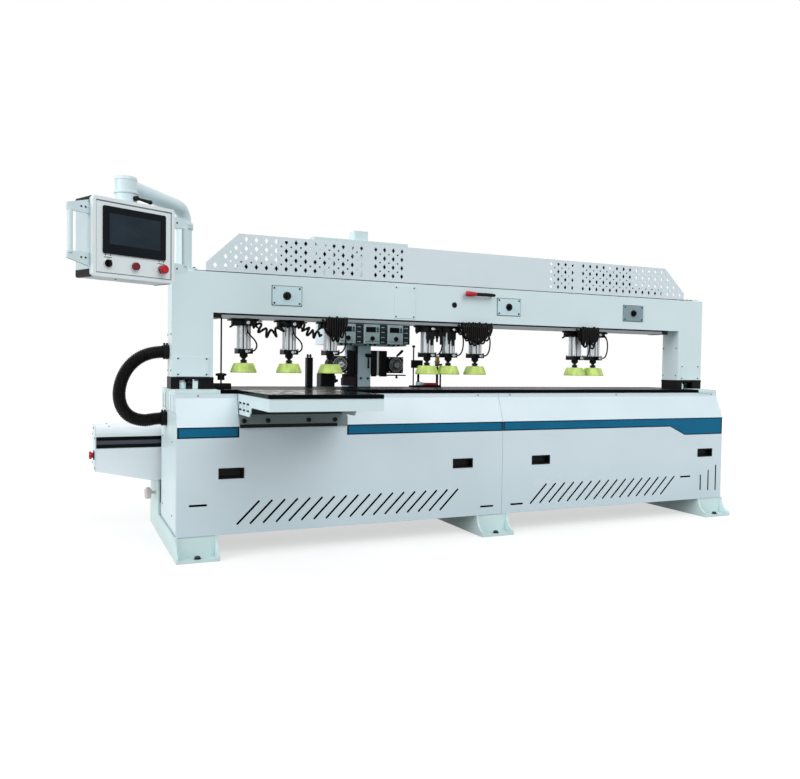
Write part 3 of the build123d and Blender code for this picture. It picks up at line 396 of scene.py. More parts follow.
def air_hose(name, points, radius, node, steps=6):
    """A black air hose that stands for a node, along the spline of its points."""
    hose = smooth_line(name, points, radius, steps)
    hose.data.materials.append(rubber)
    place_piece(hose, "base")
    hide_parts(node)
    curve_length(points)


conduit_route = metres([
    (-1650, -168, 949), (-1708, -168, 949), (-1782, -158, 924), (-1841, -146, 866), (-1874, -134, 781),
    (-1871, -122, 697), (-1830, -114, 634), (-1756, -106, 612), (-1702, -97, 624), (-1650, -97, 624)])
conduit_diameter, rib_pitch, rib_depth, cuff = 0.062, 0.0085, 0.0036, 0.03
conduit_line = followed(conduit_route, 60)
conduit_rows = frames_along(conduit_line)
conduit_length = conduit_rows[-1][0]
tube, ribs = Form(), []
for gone, spot, side, other in conduit_rows:
    radius = conduit_diameter / 2
    if min(gone, conduit_length - gone) >= cuff:
        radius -= rib_depth * (0.5 - 0.5 * cos(2 * pi * gone / rib_pitch))
    ribs.append(tube.circle(spot / MM, side, other, radius / MM, 36))
tube.skin(ribs)
conduit = tube.done("conduit", "base", "hose")
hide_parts("conduit_hose")


def curly(name, route, coil_radius, pitch, node):
    """A spiral air hose: turns about the route's spline that tighten towards both ends."""
    rows = frames_along(followed(route, 60))
    total = rows[-1][0]
    taper, turn_points = 0.03, 14
    turns = round(total / pitch)
    points, next_gone = [], 0.0
    for gone, spot, side, other in rows:
        if gone + 1e-9 < next_gone:
            continue
        next_gone += total / (turns * turn_points)
        share = min(1.0, min(gone, total - gone) / taper)
        reach = coil_radius * share * share * (3 - 2 * share)
        angle = 2 * pi * turns * gone / total
        points.append(tuple(spot + (side * cos(angle) + other * sin(angle)) * reach))
    points[0] = tuple(rows[0][1])
    points.append(tuple(rows[-1][1]))
    air_hose(name, points, 0.0062, node)


curly("spiral_air_hose_1", metres([
    (-1280, -262, 1094), (-1249, -262, 1094), (-1221, -265, 1060), (-1182, -267, 1042), (-1139, -265, 1056),
    (-1107, -262, 1094), (-1076, -262, 1094)]), 0.019, 0.04, "spiral_hose_1")
curly("spiral_air_hose_2", metres([
    (-1048, -262, 1094), (-1016, -262, 1094), (-984, -270, 1058), (-950, -281, 1047), (-915.1, -281, 1047)]),
    0.0185, 0.027, "spiral_hose_2")

air_loop = [(12, 1099), (36, 1099), (57, 1081), (66, 1053), (67, 1022), (63, 992), (53, 969), (36, 957),
            (12, 957)]
air_drop = [(4, 1084), (4, 1060), (17, 1038), (38, 1020), (53, 998), (53, 974), (36, 957), (12, 957)]
for number, center in enumerate(all_presses, 1):
    line = air_drop if number < 3 else air_loop
    air_hose(f"air_tube_{number}", metres([(center + x, air_y, z) for x, z in line]), 0.004, "air_tubes",
             12)


def bundle(name, center, width, lobes):
    """A long hose tied up under the beam: tall turns side by side, longest in the middle of each lobe."""
    hose_radius, turn_radius, middle, fan, turn_pitch, turn_points = 5.0, 17.4, -286.6, 0.13, 12.2, 18
    left, right = center - width / 2, center + width / 2
    begin, end = left + 18, right - 18
    turns = int((end - begin) / turn_pitch) + 0.5
    count = int(turns * turn_points)
    points = [(left + 8, -259, 1125), (left + 10, -265, 1124), (left + 14, -268.6, 1116)]
    for i in range(count + 1):
        share = i / count
        angle = -2 * pi * turns * share
        swell = abs(sin(pi * lobes * share))
        uneven = sin(2.3 * turns * share + center)
        top = 1137 + 5 * swell + 4 * uneven
        bottom = 1066 - 48 * swell ** 0.7 + 11 * sin(2.7 * turns * share - center)
        straight = (top - bottom) / 2 - turn_radius - hose_radius
        climb = max(-1.0, min(1.0, 2.2 * sin(angle)))
        height = (top + bottom) / 2 + climb * straight + turn_radius * sin(angle)
        spread = 1 + fan * (height - 1080) / 70
        points.append((center + (begin + (end - begin) * share - center) * spread,
                       middle + turn_radius * cos(angle), height))
    points += [(right - 15, -303, 1122), (right - 11, -298, 1133), (right - 8, -286, 1138),
               (right - 7, -273, 1134), (right - 7, -264, 1127), (right - 7, -259, 1125)]
    air_hose(name, metres(points), hose_radius * MM, "hose_bundles")


for number, (center, width, lobes) in enumerate(((-845, 140, 1), (-25, 210, 1), (738, 150, 2)), 1):
    bundle(f"hose_bundle_{number}", center, width, lobes)


# Cabinet: bands, filter mats, panels and fasteners

def bar_of(low, top, inset):
    """An outline between a lower line of points and a level top."""
    left, right = low[0][0] + 1.4 * inset, low[-1][0] - 1.4 * inset
    floor = [(left, low[0][1]), *low[1:-1], (right, low[-1][1])]
    return [(x, z + inset) for x, z in floor] + [(right, top - inset), (left, top - inset)]


edging, bands = Form(), Form()
band_low, band_drop, band_top, border = 553.5, 501, 603.8, 6
for low in ([(-1649, band_low), (-1368.5, band_low)], [(-836.5, band_low), (57, band_low)],
            [(59, band_low), (1231, band_low), (1345, band_drop), (1649, band_drop)]):
    edging.prism(bar_of(low, band_top, 0), "Y", front_y - 0.4, front_y + 0.2, 0)
    bands.prism(bar_of(low, band_top, border), "Y", front_y - 0.8, front_y + 0.2, 0)
edging.done("band_edging", "base", "black_paint", ink)
bands.done("colour_bands", "base", "slate_paint", teal)

mats = Form()
for x, z in (((-1392, -196), (130, 270)), ((226, 1288), (130, 270)), ((-1604, -1506), (234, 258)),
             ((-84, 14), (138, 162)), ((105, 203), (139, 163)), ((1310, 1408), (234, 258)),
             ((1468, 1622), (134, 316))):
    mats.block(x, (front_y + 0.8, front_y + 12), z, 2)
mats.done("filter_mats", "base", "black_plastic", foam)

panels = Form()
for side in (-1, 1):
    plate = sorted((side * (cabinet_half - 0.4), side * (cabinet_half + 2)))
    rib = sorted((side * (cabinet_half + 1.6), side * (cabinet_half + 5)))
    notch = [(-52, 655), (-52, 584), (-142, 584), (-142, 655)] if side < 0 else []
    panels.prism([(-436, 122), (84, 122), (84, 655), *notch, (-436, 655)], "X", *plate, soft=0.8)
    panels.prism([(-386, 669), (84, 669), (84, 752), (-386, 752)], "X", *plate, soft=0.8)
    for y in (-352, -262, -172, -82, 8):
        panels.prism([(y, 674), (y + 34, 674), (y + 34, 748), (y, 748)], "X", *rib, soft=1.4)
panels.block((-1632, -1478), (beam_y - 2.4, beam_y), (832, 928), 0.8)
panels.block((1478, 1635), (beam_y - 2.4, beam_y), (832, 929), 0.8)
panels.block((-510, -388), (beam_y - 2.6, beam_y), (1149, 1321), 0.9)
panels.block((-1551, -1526), (-259, -196), (772.5, 812), 2)
panels.prism([(-404, 755), (-400.1, 755), (-400.1, 774.2), (-276, 774.2), (-276, 776.6), (-404, 776.6)], "X",
             1500, 1592, 0.6)
panels.block((-1360, -1358.4), (-652, -410), (676, 724), 0.5)
panels.done("cover_panels", "base", "white_paint")

heads = Form()
for x in (-1549, -70, 131, 860, 1606):
    heads.screw((x, -397.5, 745), FRONT, 3.6, 2.2)
for columns, rows in (((-1620, -1488, 1490, 1623), (842, 917)), ((-501, -397), (1158, 1312))):
    for x, z in product(columns, rows):
        heads.screw((x, beam_y - 2.4, z), FRONT, 4.2, 2.4)
for side in (-1, 1):
    for y, z in product((-134, -246), (860, 1032)):
        heads.screw((side * cabinet_half, y, z), (side, 0, 0), 4, 2.4)
        heads.screw((side * 1457, y, z), (-side, 0, 0), 4, 2.4)
    for y, z in product((-318, 28), (182, 528)):
        heads.screw((side * (cabinet_half + 2), y, z), (side, 0, 0), 4, 2.2)
for x, across, up in product(plate_centers, (-65, 65), (-37, 37)):
    heads.screw((x + across, plate_y, plate_z + up), FRONT, 5, 2.6)
for x, y in product(range(-1900, 1650, 350), (180, 380)):
    heads.screw((x, y, 566), UP, 4.5, 2.4)
for y, z in ((146, 358), (146, 510), (414, 358), (414, 510), (280, 552)):
    heads.screw((-1968, y, z), LEFT, 5, 2.6)
    heads.screw((1646, y, z), RIGHT, 5, 2.6)
for x, y in (*product((-1420, -1100, -790, -480, -170, 140, 450, 760, 1070, 1380), (128, -372)),
             *product((-1335, -906), (-940, -690, -440))):
    heads.screw((x, y, table_z), UP, 7, 0.7)
heads.done("cover_screws", "base", "steel", dark_steel)

bolts = Form()
for x in foot_centers:
    for web, side in ((x - foot_web, -1), (x + foot_web, 1)):
        # The outer sides of the end feet carry no bolts
        if abs(web) < cabinet_half:
            for y in (-221, 107):
                bolts.turned((web, y, 84), (side, 0, 0), [(9, 0), (9, 1.6), (7.6, 2.4)], 6)
    for y in (-490, 490):
        bolts.turned((x, y, 12), UP, [(17, 0), (17, 2.5), (12.5, 2.5), (12.5, 10), (11, 12)], 12)
for k in range(6):
    angle = 2 * pi * (k + 0.5) / 6
    bolts.hexagon((post_spot[0] + 50 * cos(angle), post_spot[1] + 50 * sin(angle), 1350), UP, 7, 6)
bolts.done("frame_bolts", "base", "steel", dark_steel)

support_shade_and_bolts = Form()
# Painted shadow: a black strip in the gap under the support, over the cover's top edge.
support_shade_and_bolts.block((-1367, -891), (-461.5, -457.6), (598, 614), 0.8)
for x in (-1348, -1235, -1036, -903):
    support_shade_and_bolts.turned((x, -457.8, 631), FRONT, [(11, 0), (11, 5.6), (9.4, 7.2), (4.4, 7.2), (4, 5.2)], 18)
# Painted shade: black dashes above and below each slot in the apron wall, standing for the slots' shaded
# edges.
for y, z in product((-602, -525, -448), ((711, 720), (680, 689))):
    support_shade_and_bolts.block((-1365, -1362.6), (y - 23, y + 23), z, 1)
support_shade_and_bolts.done("support_bolts_and_shade", "base", "black_plastic")

louvres = Form()
upper_rows = [(left, 150, 606 + 25 * k) for left in (-1320, -1130, -560, -370, 220, 410, 980, 1170)
              for k in range(5)]
lower_rows = [(left, 180, 186 + 22 * k) for left in (-870, 690) for k in range(4)]
for left, wide, z in upper_rows + lower_rows:
    slat = [(rear_y, z), (rear_y + 7.4, z), (rear_y + 6, z + 2.5), (rear_y, z + 13)]
    louvres.prism(slat, "X", left, left + wide, 0.5)
louvres.done("rear_louvres", "base", "white_paint", cover_white)

clamps = Form()
strap = [(34.9, 0), (36.4, 0), (37, 1), (37, 6), (36.4, 7), (34.9, 7)]
for y, z in ((-168, 949), (-97, 624)):
    for x in (-1655, -1668):
        clamps.turned((x, y, z), LEFT, strap, 40, True)
        clamps.block((x - 8, x + 1), (y - 8, y + 8), (z + 35.5, z + 42), 1)
clamps.turned((-1968, 190, 420), LEFT, [(15, 0), (25, 0), (25, 3), (22, 5.5), (15, 5.5)], 28, True)
clamps.done("hose_clamps", "base", "black_plastic")

unit = Form()
unit.block((-1692, -1655), (282, 296), (192, 206), 1.5)
bowl = [(9, 0), (15, 3), (17, 8), (17, 30), (19, 32), (19, 50), (12, 52), (12, 58), (8, 61)]
unit.turned((-1696, 289, 166), UP, bowl, 20)
unit.turned((-1696, 289, 208), FRONT, [(10, 15), (10, 22), (8, 24)], 16)
unit.done("air_unit", "base", "inverter_grey", gauge_pale)

# Portal: painted shade strip on the rail, handle, plug, switch rings and the things behind the perforated
# cover

rail_blacks = Form()
# Painted shade: a black strip along the front of the rail's neck, below the rail's head.
rail_blacks.block((-1454, 1363), (-257.6, -245.8), (1127, 1139.6), 0.8)
rail_blacks.block((-1548, 1566), (-264, -262.4), (1337.2, 1339.4), 0.3)
for x in (-1461, 1327):
    rail_blacks.prism([(-260, 1115.6), (-128, 1115.6), (-128, 1139.4), (-260, 1139.4)], "X", x, x + 44, 1.2)
rail_blacks.turned((-151, beam_y, 1234), FRONT, [(15, 0), (15, 2.5), (12.5, 4), (6, 4.4), (5, 2.8)], 24)
for x in (-72, 76):
    rail_blacks.rod([(x, beam_y, 1297), (x, -281, 1297)], [8, 7])
rail_blacks.rod([(-30, -288, 1297), (-20, -288, 1297), (60, -288, 1297), (86, -288, 1296), (92, -287, 1296)],
         [9, 9.5, 9.5, 8.5, 5], 16)
rail_blacks.done("rail_black_parts", "base", "black_plastic")
grip = Form()
grip.rod([(-94, -287, 1297), (-90, -288, 1297), (-76, -288, 1297), (-40, -288, 1297), (-29, -288, 1297)],
         [9, 14.5, 15, 12, 9.2], 18)
grip.done("grip_sleeve", "base", "red_plastic")


def around(x, z, half_x, half_z):
    """A rectangle with points at its corners and along its sides, in step with a circle round its middle."""
    spots = []
    for a, b, c, d in ((1, -1, 1, 1), (1, 1, -1, 1), (-1, 1, -1, -1), (-1, -1, 1, -1)):
        for k in range(8):
            spots.append((x + half_x * (a + (c - a) * k / 8), z + half_z * (b + (d - b) * k / 8)))
    return spots


gaskets, shaded_plate, switch_rings = Form(), Form(), Form()
ring = [(16, 0), (21, 0), (21, 1.6), (19, 2.8), (16, 2.8)]
for x in plate_centers:
    gaskets.band(around(x, plate_z, 73, 45), around(x, plate_z, 77.6, 49.6), "Y", -264.6, -262.6)
    switch_rings.turned((x, plate_y + 0.1, plate_z), FRONT, ring, 28, True)
gaskets.done("plate_gaskets", "base", "black_plastic")
# The last switch plate gets a face of darker plate paint: painted shade on a plate that is the same part as
# the others.
shaded_x = plate_centers[-1]
turns = [2 * pi * (k - 4) / 32 for k in range(32)]
hole = [(shaded_x + 21.6 * cos(t), plate_z + 21.6 * sin(t)) for t in turns]
shaded_plate.band(hole, around(shaded_x, plate_z, 74.4, 46.4), "Y", plate_y - 0.9, plate_y + 0.2)
shaded_plate.done("shaded_plate_face", "base", "grey_paint", plate_shade)
switch_rings.done("switch_rings", "base", "steel", dark_steel)

jacks, nuts = Form(), Form()
for x, y in jack_spots:
    jacks.turned((x - 48, y, 772.5), UP, [(14.1, 0), (21, 0), (23, 2), (23, 30), (21, 33), (17, 34), (17, 42),
                                          (14.1, 42)], 24, True)
    for z in (773, 800):
        nuts.turned((x - 8, y, z), UP, [(14.1, 0), (17, 0), (17.4, 1), (17.4, 12), (16, 13.4), (14.1, 13.4)],
                    6, True)
jacks.done("jack_collars", "base", "grey_paint", plate_paint)
nuts.done("jack_nuts", "base", "steel", dark_steel)

lug = Form()
lug.block((1569, 1632), (-246, -142), (1337.5, 1345), 1.5)
for x in (1584, 1617):
    lug.turned((x, -194, 1345), UP, [(8, 0), (8, 6), (6.6, 7)], 6)
lug.done("beam_lug", "base", "aluminium")

# The black banks and the grey racks fill the space behind the perforated cover; the grey racks are painted
# shade, standing for the hood seen in shade through the holes.
banks, shade_racks = Form(), Form()
shelf = 1352
for form, first, last, low, top in (
        (banks, -1330, -1126, shelf, 1398), (banks, -1124, -978, shelf, 1519),
        (banks, -976, -932, shelf, 1434), (banks, -922, -880, 1394, 1480),
        (banks, -870, -830, 1482, 1520), (shade_racks, -826, -778, shelf, 1519),
        (banks, -770, -730, shelf, 1434), (shade_racks, -768, -732, 1436, 1470), (shade_racks, -722, -680, 1470, 1519),
        (banks, -642, -450, shelf, 1388), (shade_racks, -640, -498, 1392, 1519), (banks, -492, -450, 1394, 1436),
        (shade_racks, -490, -452, 1440, 1519), (banks, 556, 622, shelf, 1516), (banks, 684, 890, shelf, 1519),
        (shade_racks, 892, 990, shelf, 1500), (banks, 992, 1090, shelf, 1519), (banks, 1120, 1330, shelf, 1408)):
    banks.block((first, last), (-238, -172), (beam_top, shelf), 1)
    count = max(1, round((last - first) / 21))
    pitch = (last - first) / count
    for k in range(count):
        x = first + pitch * k
        form.block((x + 0.8, x + pitch - 0.8), (-242, -180), (low - 0.5, top - 6 * (k % 3 == 1)), 1.2, 1)
        form.block((x + 4, x + pitch - 4), (-182, -168), (low + 4, low + 16), 0.8, 1)
    if low > shelf:
        banks.block((first + 6, first + 12), (-210, -200), (shelf, low), 0.6, 1)
banks.done("valve_banks", "base", "black_plastic")
shade_racks.done("grey_shade_blocks", "base", "grey_paint", rack_shade_grey)
duct = Form()
duct.block((-1400, 1290), (-168, -132), (beam_top, 1366), 1.5)
for k in range(84):
    x = -1392 + 32 * k
    duct.block((x, x + 22), (-169.5, -130.5), (1340, 1362), 0.8, 1)
duct.block((-1402, 1292), (-171, -129), (1366, 1372), 1.5)
duct.done("cable_duct", "base", "grey_paint")


# Presses: grooved tubes, tie bolts, levers, fittings and pads

def tube_outline(center, steps=96):
    """A square-shouldered cylinder tube with two sensor grooves in each side."""
    spots = []
    for k in range(steps):
        angle = 2 * pi * k / steps
        fold = (angle + pi / 4) % (pi / 2) - pi / 4
        radius = 32.6 + 5.4 * abs(sin(2 * angle)) ** 3
        if 0.2 < abs(fold) < 0.36:
            radius -= 3.5
        spots.append((center + radius * cos(angle), press_y + radius * sin(angle)))
    return spots


def clamp_levers(center):
    """A bolt at each side of a press, and a hand lever where no other press is in its way."""
    tip = 99 if center > 0 else 72
    for side in (-1, 1):
        levers.hexagon((center + side * 60, -236, 1114), FRONT, 6, 5)
        if min(abs(center + side * 70 - other) for other in all_presses if other != center) < 100:
            continue
        bends = ((53, -218, 1102), (58, -216, 1097), (tip - 16, -207, 1087), (tip - 5, -200, 1078),
                 (tip, -198, 1075))
        levers.rod([(center + side * x, y, z) for x, y, z in bends], [6, 6.5, 5.5, 5, 3.5])
        levers.block(sorted((center + side * 54, center + side * 87)), (-222, -210), (1106, 1112.5), 1.5)
    levers.block((center - 46, center + 46), (-240, -235.5), (1086, 1108), 2)


def hanging_valve(center):
    """A small valve with two hose ends below it and a round button in front."""
    levers.block((center - 27, center + 24), (-241, -230), (1044, 1086), 3)
    levers.turned((center - 15, -235, 1044), DOWN, [(8, 0), (8, 7), (5.5, 9), (5.5, 21), (4, 23)], 14)
    levers.turned((center + 11, -235, 1044), DOWN, [(7, 0), (7, 5), (5, 7), (5, 32), (3.6, 34)], 14)
    levers.turned((center - 3, -240.8, 1066), FRONT, [(9, 0), (9, 3), (7.4, 4.4), (3, 4.4)], 18)


tubes, levers, fittings, wipers_and_groove_shade = Form(), Form(), Form(), Form()
port = [(8, 0), (8, 3), (6.8, 4.4), (4.2, 4.4), (3.8, 2)]
elbow = [(4.2, 0), (7, 0), (7, 6), (6, 8), (4.2, 8)]
for center in all_presses:
    tubes.prism(tube_outline(center), "Z", 969, 1084, 0)
    # Painted shade: black rods lie in the tube's sensor grooves to darken them.
    for quarter, fold in product(range(4), (-0.28, 0.28)):
        angle = quarter * pi / 2 + fold
        x, y = center + 30.4 * cos(angle), press_y + 30.4 * sin(angle)
        wipers_and_groove_shade.rod([(x, y, 970), (x, y, 1083)], 2.6, 6)
    for across, deep in product((-34, 34), repeat=2):
        fittings.hexagon((center + across, press_y + deep, 968.8), UP, 5.6, 6)
    clamp_levers(center)
    if center in press_zones[2][:2]:
        hanging_valve(center)
    for z in (1099, 957):
        fittings.turned((center + 1.5, -255.8, z), FRONT, port, 18)
        fittings.turned((center + 11.8, air_y, z), RIGHT, elbow, 16, True)
    if center in press_zones[1][:2]:
        fittings.turned((center + 1.5, -283.8, 1096), FRONT,
                        [(8.5, 0), (8.5, 4), (7, 5.4), (4.2, 5.4), (3.8, 2)], 18)
    wipers_and_groove_shade.turned((center, press_y, 932), DOWN, [(8.2, 0), (17, 0), (14, 5), (11.5, 9), (8.2, 9)], 20, True)
levers.block((-238, -190), (-226, -186), (1062, 1118), 3)
levers.turned((-226, -206, 1062), DOWN, [(9, 0), (9, 10), (6, 12), (6, 30), (4, 32)], 14)
levers.turned((-203, -206, 1062), DOWN, [(8, 0), (8, 6), (5.5, 8), (5.5, 44), (4, 46)], 14)
tubes_piece = tubes.done("press_tubes", "base", "aluminium", sharp=20)
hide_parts("press_cylinders")
levers.done("press_levers", "base", "black_plastic")
fittings.done("press_fittings", "base", "steel")
wipers_and_groove_shade.done("press_wipers_and_groove_shade", "base", "black_plastic")

pad_profile = [(62.5, 852), (64.6, 853.2), (65, 856), (64.2, 861), (50.6, 894.5), (48.4, 898.4), (45, 900),
               (17.5, 900)]
nut_profile = [(11.9, 0), (15, 1.5), (17, 5), (17, 8), (15, 11.5), (11, 13), (8.1, 15), (8.1, 11)]
washer_profile = [(12.1, 0), (19, 0), (19, 2.2), (17.5, 3), (12.1, 3)]
for zone, centers in press_zones.items():
    pads, nuts = Form(), Form()
    for center in centers:
        pads.turned((center, press_y, 0), UP, pad_profile, 48)
        nuts.turned((center, press_y, 904), UP, nut_profile, 20, True)
        nuts.turned((center, press_y, 900), UP, washer_profile, 28, True)
    pad = pads.done(f"pads_{zone}", f"press_zone_{zone}", "lime_pad", sharp=50)
    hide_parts(f"press_pads_{zone}")
    nuts.done(f"rod_nuts_{zone}", f"press_zone_{zone}", "steel", dark_steel)

# Side stops on the table

stops, cover, sleeve, knob = Form(), Form(), Form(), Form()
stops.rod([(-1438, -230, 841), (-1428, -230, 842), (-1396, -230, 842), (-1386, -230, 841)], [5, 7.5, 7.5, 5])
stops.turned((-1412, -230, 835), UP, [(4.2, 0), (13, 0), (9, 4), (9, 14), (4.2, 15)], 20, True)
stops.block((-252, -190), (stop_y - 18, stop_y + 18), (885, 931), 3)
stops.turned((-243, stop_y, 1004), UP, [(4.2, 0), (9, 0), (9, 10), (7, 13), (4.2, 13)], 18, True)
stops.block((-1436, -1376), (-258, -254.5), (780, 796), 1.5)
for x in (-884, -869):
    stops.turned((x, stop_y, 935), UP, [(5.5, 0), (5.5, 5), (7, 6), (7, 12), (5, 13), (5, 17), (3.4, 19)], 14)
stops.turned((-66, stop_y, 784), UP, [(7, 0), (7, 3), (5, 4), (5, 118), (4, 120)], 14)
stops.turned((-88, stop_y, 784), UP, [(4.2, 0), (9, 0), (9, 3), (7.5, 4), (7.5, 108), (4.2, 109)], 16, True)
stops.turned((-211, stop_y, 800), UP, [(12, 0), (12, 4), (7, 8), (7, 80), (9, 83), (9, 86)], 16)
stops.block((-96, -58), (stop_y - 8, stop_y + 8), (902, 912), 2)
stops.done("stop_clamps", "base", "black_plastic")
cover.block((-172, -97), (stop_y - 27, stop_y + 27), (784.2, 799), 3)
cover.done("stop_cover", "base", "red_plastic")
sleeve.turned((-88, stop_y, 897), UP, [(4.2, 0), (11, 0), (14, 4), (14, 22), (17, 24), (17, 30), (13, 33),
                                       (11, 60), (4.2, 60)], 20, True)
sleeve.done("stop_sleeve", "base", "steel", bronze)
knob.turned((-202, stop_y, 784), UP, [(20, 0), (23, 3), (23, 14), (19, 19), (8, 20)], 24)
knob.done("stop_knob", "base", "white_paint")

# Head: inverter fronts, modules, hood and fittings, carried by the head slide

fronts, glands = Form(), Form()
for center in inverter_centers:
    fronts.block((center - 38, center + 23), (193.6, 197), (1092, 1122), 1)
    for k in range(3):
        fronts.block((center + 29, center + 41), (193.8, 197), (1093 + 10 * k, 1100 + 10 * k), 1)
    fronts.turned((center + 3, 196.5, 1055), FRONT, [(14, 0), (14, 2), (11.5, 3), (10.5, 11), (8.5, 12)], 24)
    fronts.block((center - 46, center + 46), (195.4, 197), (1036.4, 1038.2), 0.3)
    for k in range(7):
        fronts.block((center - 40 + 12 * k, center - 34 + 12 * k), (206, 250), (1145.5, 1147), 0.4)
    for across in (-30, 0, 30):
        glands.turned((center + across, 226, 1024.5), DOWN, [(9, 0), (9, 5), (7, 6), (7, 11), (5, 12)], 12)
fronts.done("inverter_fronts", "head_slide", "black_plastic")
ribbed, plugs = Form(), Form()
for center in module_centers:
    ribbed.block((center - 22, center + 22), (206, 258.5), (1024, 1146), 2)
    for k in range(4):
        z = 1031 + 29 * k
        ribbed.block((center - 19, center + 19), (200.5, 206.5), (z + 9, z + 22), 1.5)
        plugs.block((center - 15, center + 8), (203, 206.5), (z, z + 6), 1.2)
        plugs.block((center - 12, center - 4), (201, 203.4), (z + 1, z + 5), 0.6)
ribbed.done("terminal_modules", "head_slide", "inverter_grey", module)
plugs.done("terminal_plugs", "head_slide", "inverter_grey")
glands.done("cable_glands", "head_slide", "black_plastic")

hood_trim = Form()
for side, x, first, count in ((-1, -797, 1360, 5), (1, -197, 1180, 9)):
    foot, lip, brow = x - side * 0.5, x + side * 6, x + side * 5
    for k in range(count):
        z = first + 30 * k
        hood_trim.prism([(foot, z), (lip, z), (brow, z + 2.5), (foot, z + 14)], "Y", 310, 420, 0.4)
hood_trim.block((-690, -304), (471.6, 474), (1080, 1560), 1)
for k in range(8):
    z = 1420 + 15 * k
    hood_trim.prism([(473.8, z), (479, z), (478, z + 2), (473.8, z + 9)], "X", -620, -374, 0.4)
hood_trim.block((-711, -198), (256.6, 258.4), (1168, 1171), 0.4)
hood_trim.block((-522, -478), (363.5, 378), (1636, 1672), 3)
hood_trim.turned((-500, 371, 1671), UP, [(9, 0), (9, 8), (7, 9), (7, 13), (5, 14)], 16)
for x in (-320, -270):
    hood_trim.turned((x, 420, 1632), UP, [(16, 0), (16, 6), (13, 7), (13, 20), (9, 24)], 20)
hood_trim.done("hood_trim", "head_slide", "white_paint")

hood_dark = Form()
for x, z in ((-780, 1380), (-780, 1590), (-214, 1200), (-214, 1590), (-497, 1590), (-640, 1590),
             (-350, 1590)):
    hood_dark.screw((x, 258, z), FRONT, 5, 2.6)
for x, z in product((-672, -322), (1100, 1320, 1540)):
    hood_dark.screw((x, 474, z), BACK, 5, 2.6)
hood_dark.block((-340, -316), (474, 486), (1290, 1350), 2)
# Painted shadow: a black strip in the gap beside the slide's front plate.
hood_dark.block((-537, -519.5), (245.5, 252), (656, 1008), 1)
for x, y in product((-536, -456), (280, 360)):
    hood_dark.hexagon((x, y, 1628), UP, 6, 8)
hood_dark.rod([(-454, 238, 886), (-454, 238, 944)], 4.5)
hood_dark.rod([(-474, 238, 955), (-470, 238, 956), (-438, 238, 956), (-434, 238, 955)], [8, 11, 11, 8], 16)
hood_dark.turned((-454, 238, 880), UP, [(4, 0), (7, 1), (7, 7), (4.5, 8)], 12)
for x, z in product((-500, -456), (700, 760, 820)):
    hood_dark.hexagon((x, 244.2, z), FRONT, 7, 6)
for x, y in product((-572, -342), (225, 262, 420, 455)):
    hood_dark.hexagon((x, y, 652), UP, 8, 8)
hood_dark.done("hood_fittings_and_shade_strip", "head_slide", "black_plastic")

# Vertical slide: spindle rings, guards, stop blocks and the air nozzle

guards, strips, bracket = Form(), Form(), Form()
for center in spindle_centers:
    guards.turned((center, 235.2, spindle_z), FRONT,
                  [(19, 0), (45, 0), (45, 3), (43, 4.6), (21, 4.6), (19, 3)], 40, True)
    for inner, outer in ((40, 42), (32.5, 34), (24, 25.5)):
        strips.turned((center, 231, spindle_z), FRONT,
                      [(inner, 0), (outer, 0), (outer, 1.4), (inner, 1.4)], 40, True)
    for across, up in product((-41, 41), repeat=2):
        strips.screw((center + across, 235, spindle_z + up), FRONT, 4.6, 3)
guards.block((-430, -396), (250, 262.5), (830, 985), 2)
guards.block((-377, -331), (247, 262.5), (830, 984), 2)
guards.block((-583, -557), (250, 262.5), (832, 985), 2)
for z in (850, 905, 960):
    guards.hexagon((-413, 250.2, z), FRONT, 6, 5)
    guards.hexagon((-354, 247.2, z), FRONT, 6, 5)
guards.turned((-269, 244, 820), UP, [(9, 0), (9, 5), (6, 6), (6, 14), (4, 16)], 14)
guards.rod([(-230, 246, 988), (-244, 245, 975), (-262, 243, 960), (-271, 242, 952)], [8, 8, 7, 4.5])
guards.block((-377, -212), (232, 263), (835, 843), 1)
guards.block((-556, -529), (253, 262.5), (836, 982), 1)
guards.done("slide_guards", "z_slide", "black_plastic")
strips.block((-393, -380), (254, 262.5), (836, 982), 1)
strips.done("slide_strips", "z_slide", "aluminium")
bracket.block((-611, -529), (242, 284), (776, 822), 2)
bracket.block((-604, -536), (262.5, 284), (820, 845), 1)
bracket.done("slide_bracket", "z_slide", "red_plastic", maroon)

# Carriage drive: connector and flange of the rear motor

drive = Form()
drive.block((-606, -591), (424, 466), (786, 832), 3)
drive.turned((-592, 445, 800), RIGHT, [(12, 0), (12, 8), (9, 9), (9, 18), (6, 20)], 16)
drive.block((-702, -598), (396.5, 495), (612, 622), 2)
for x, y in product((-690, -610), (406, 486)):
    drive.hexagon((x, y, 622), UP, 6, 7)
for k in range(6):
    z = 650 + 22 * k
    drive.block((-697, -694), (410, 482), (z, z + 10), 1)
drive.done("drive_fittings", "x_carriage", "black_plastic")

# Control box: corner strips, screen glass, bezels and fasteners in the plane of its face

turn, half_wide, half_high = radians(26.4), 186.5, 158.5
box_plane = Matrix(((cos(turn), 0, sin(turn), -1847), (sin(turn), 0, -cos(turn), -652), (0, 1, 0, 1395),
                    (0, 0, 0, 1)))
corners, bezels, box_heads, display, gasket, back, marks = (Form(box_plane) for _ in range(7))
cap = ((-15, 1.2), (-4, 1.2), (1.2, -4), (1.2, -29), (-1.2, -29), (-15, -1.2))
for side, up in product((-1, 1), repeat=2):
    corners.prism([(side * (half_wide + x), up * (half_high + y)) for x, y in cap], "Z", -134, -26, 0.8)
for side, end, out in product((-1, 1), (-88, 111), (14, 32)):
    box_heads.screw((side * (half_wide + out), end, -29), UP, 4, 2.4)
corners.block((186.2, 188.4), (-110, 60), (-30, -17), 0.8)
corners.done("box_corners", "control_box", "black_plastic")
box_heads.screw((-60, -half_high, -50), FRONT, 4, 2.2)
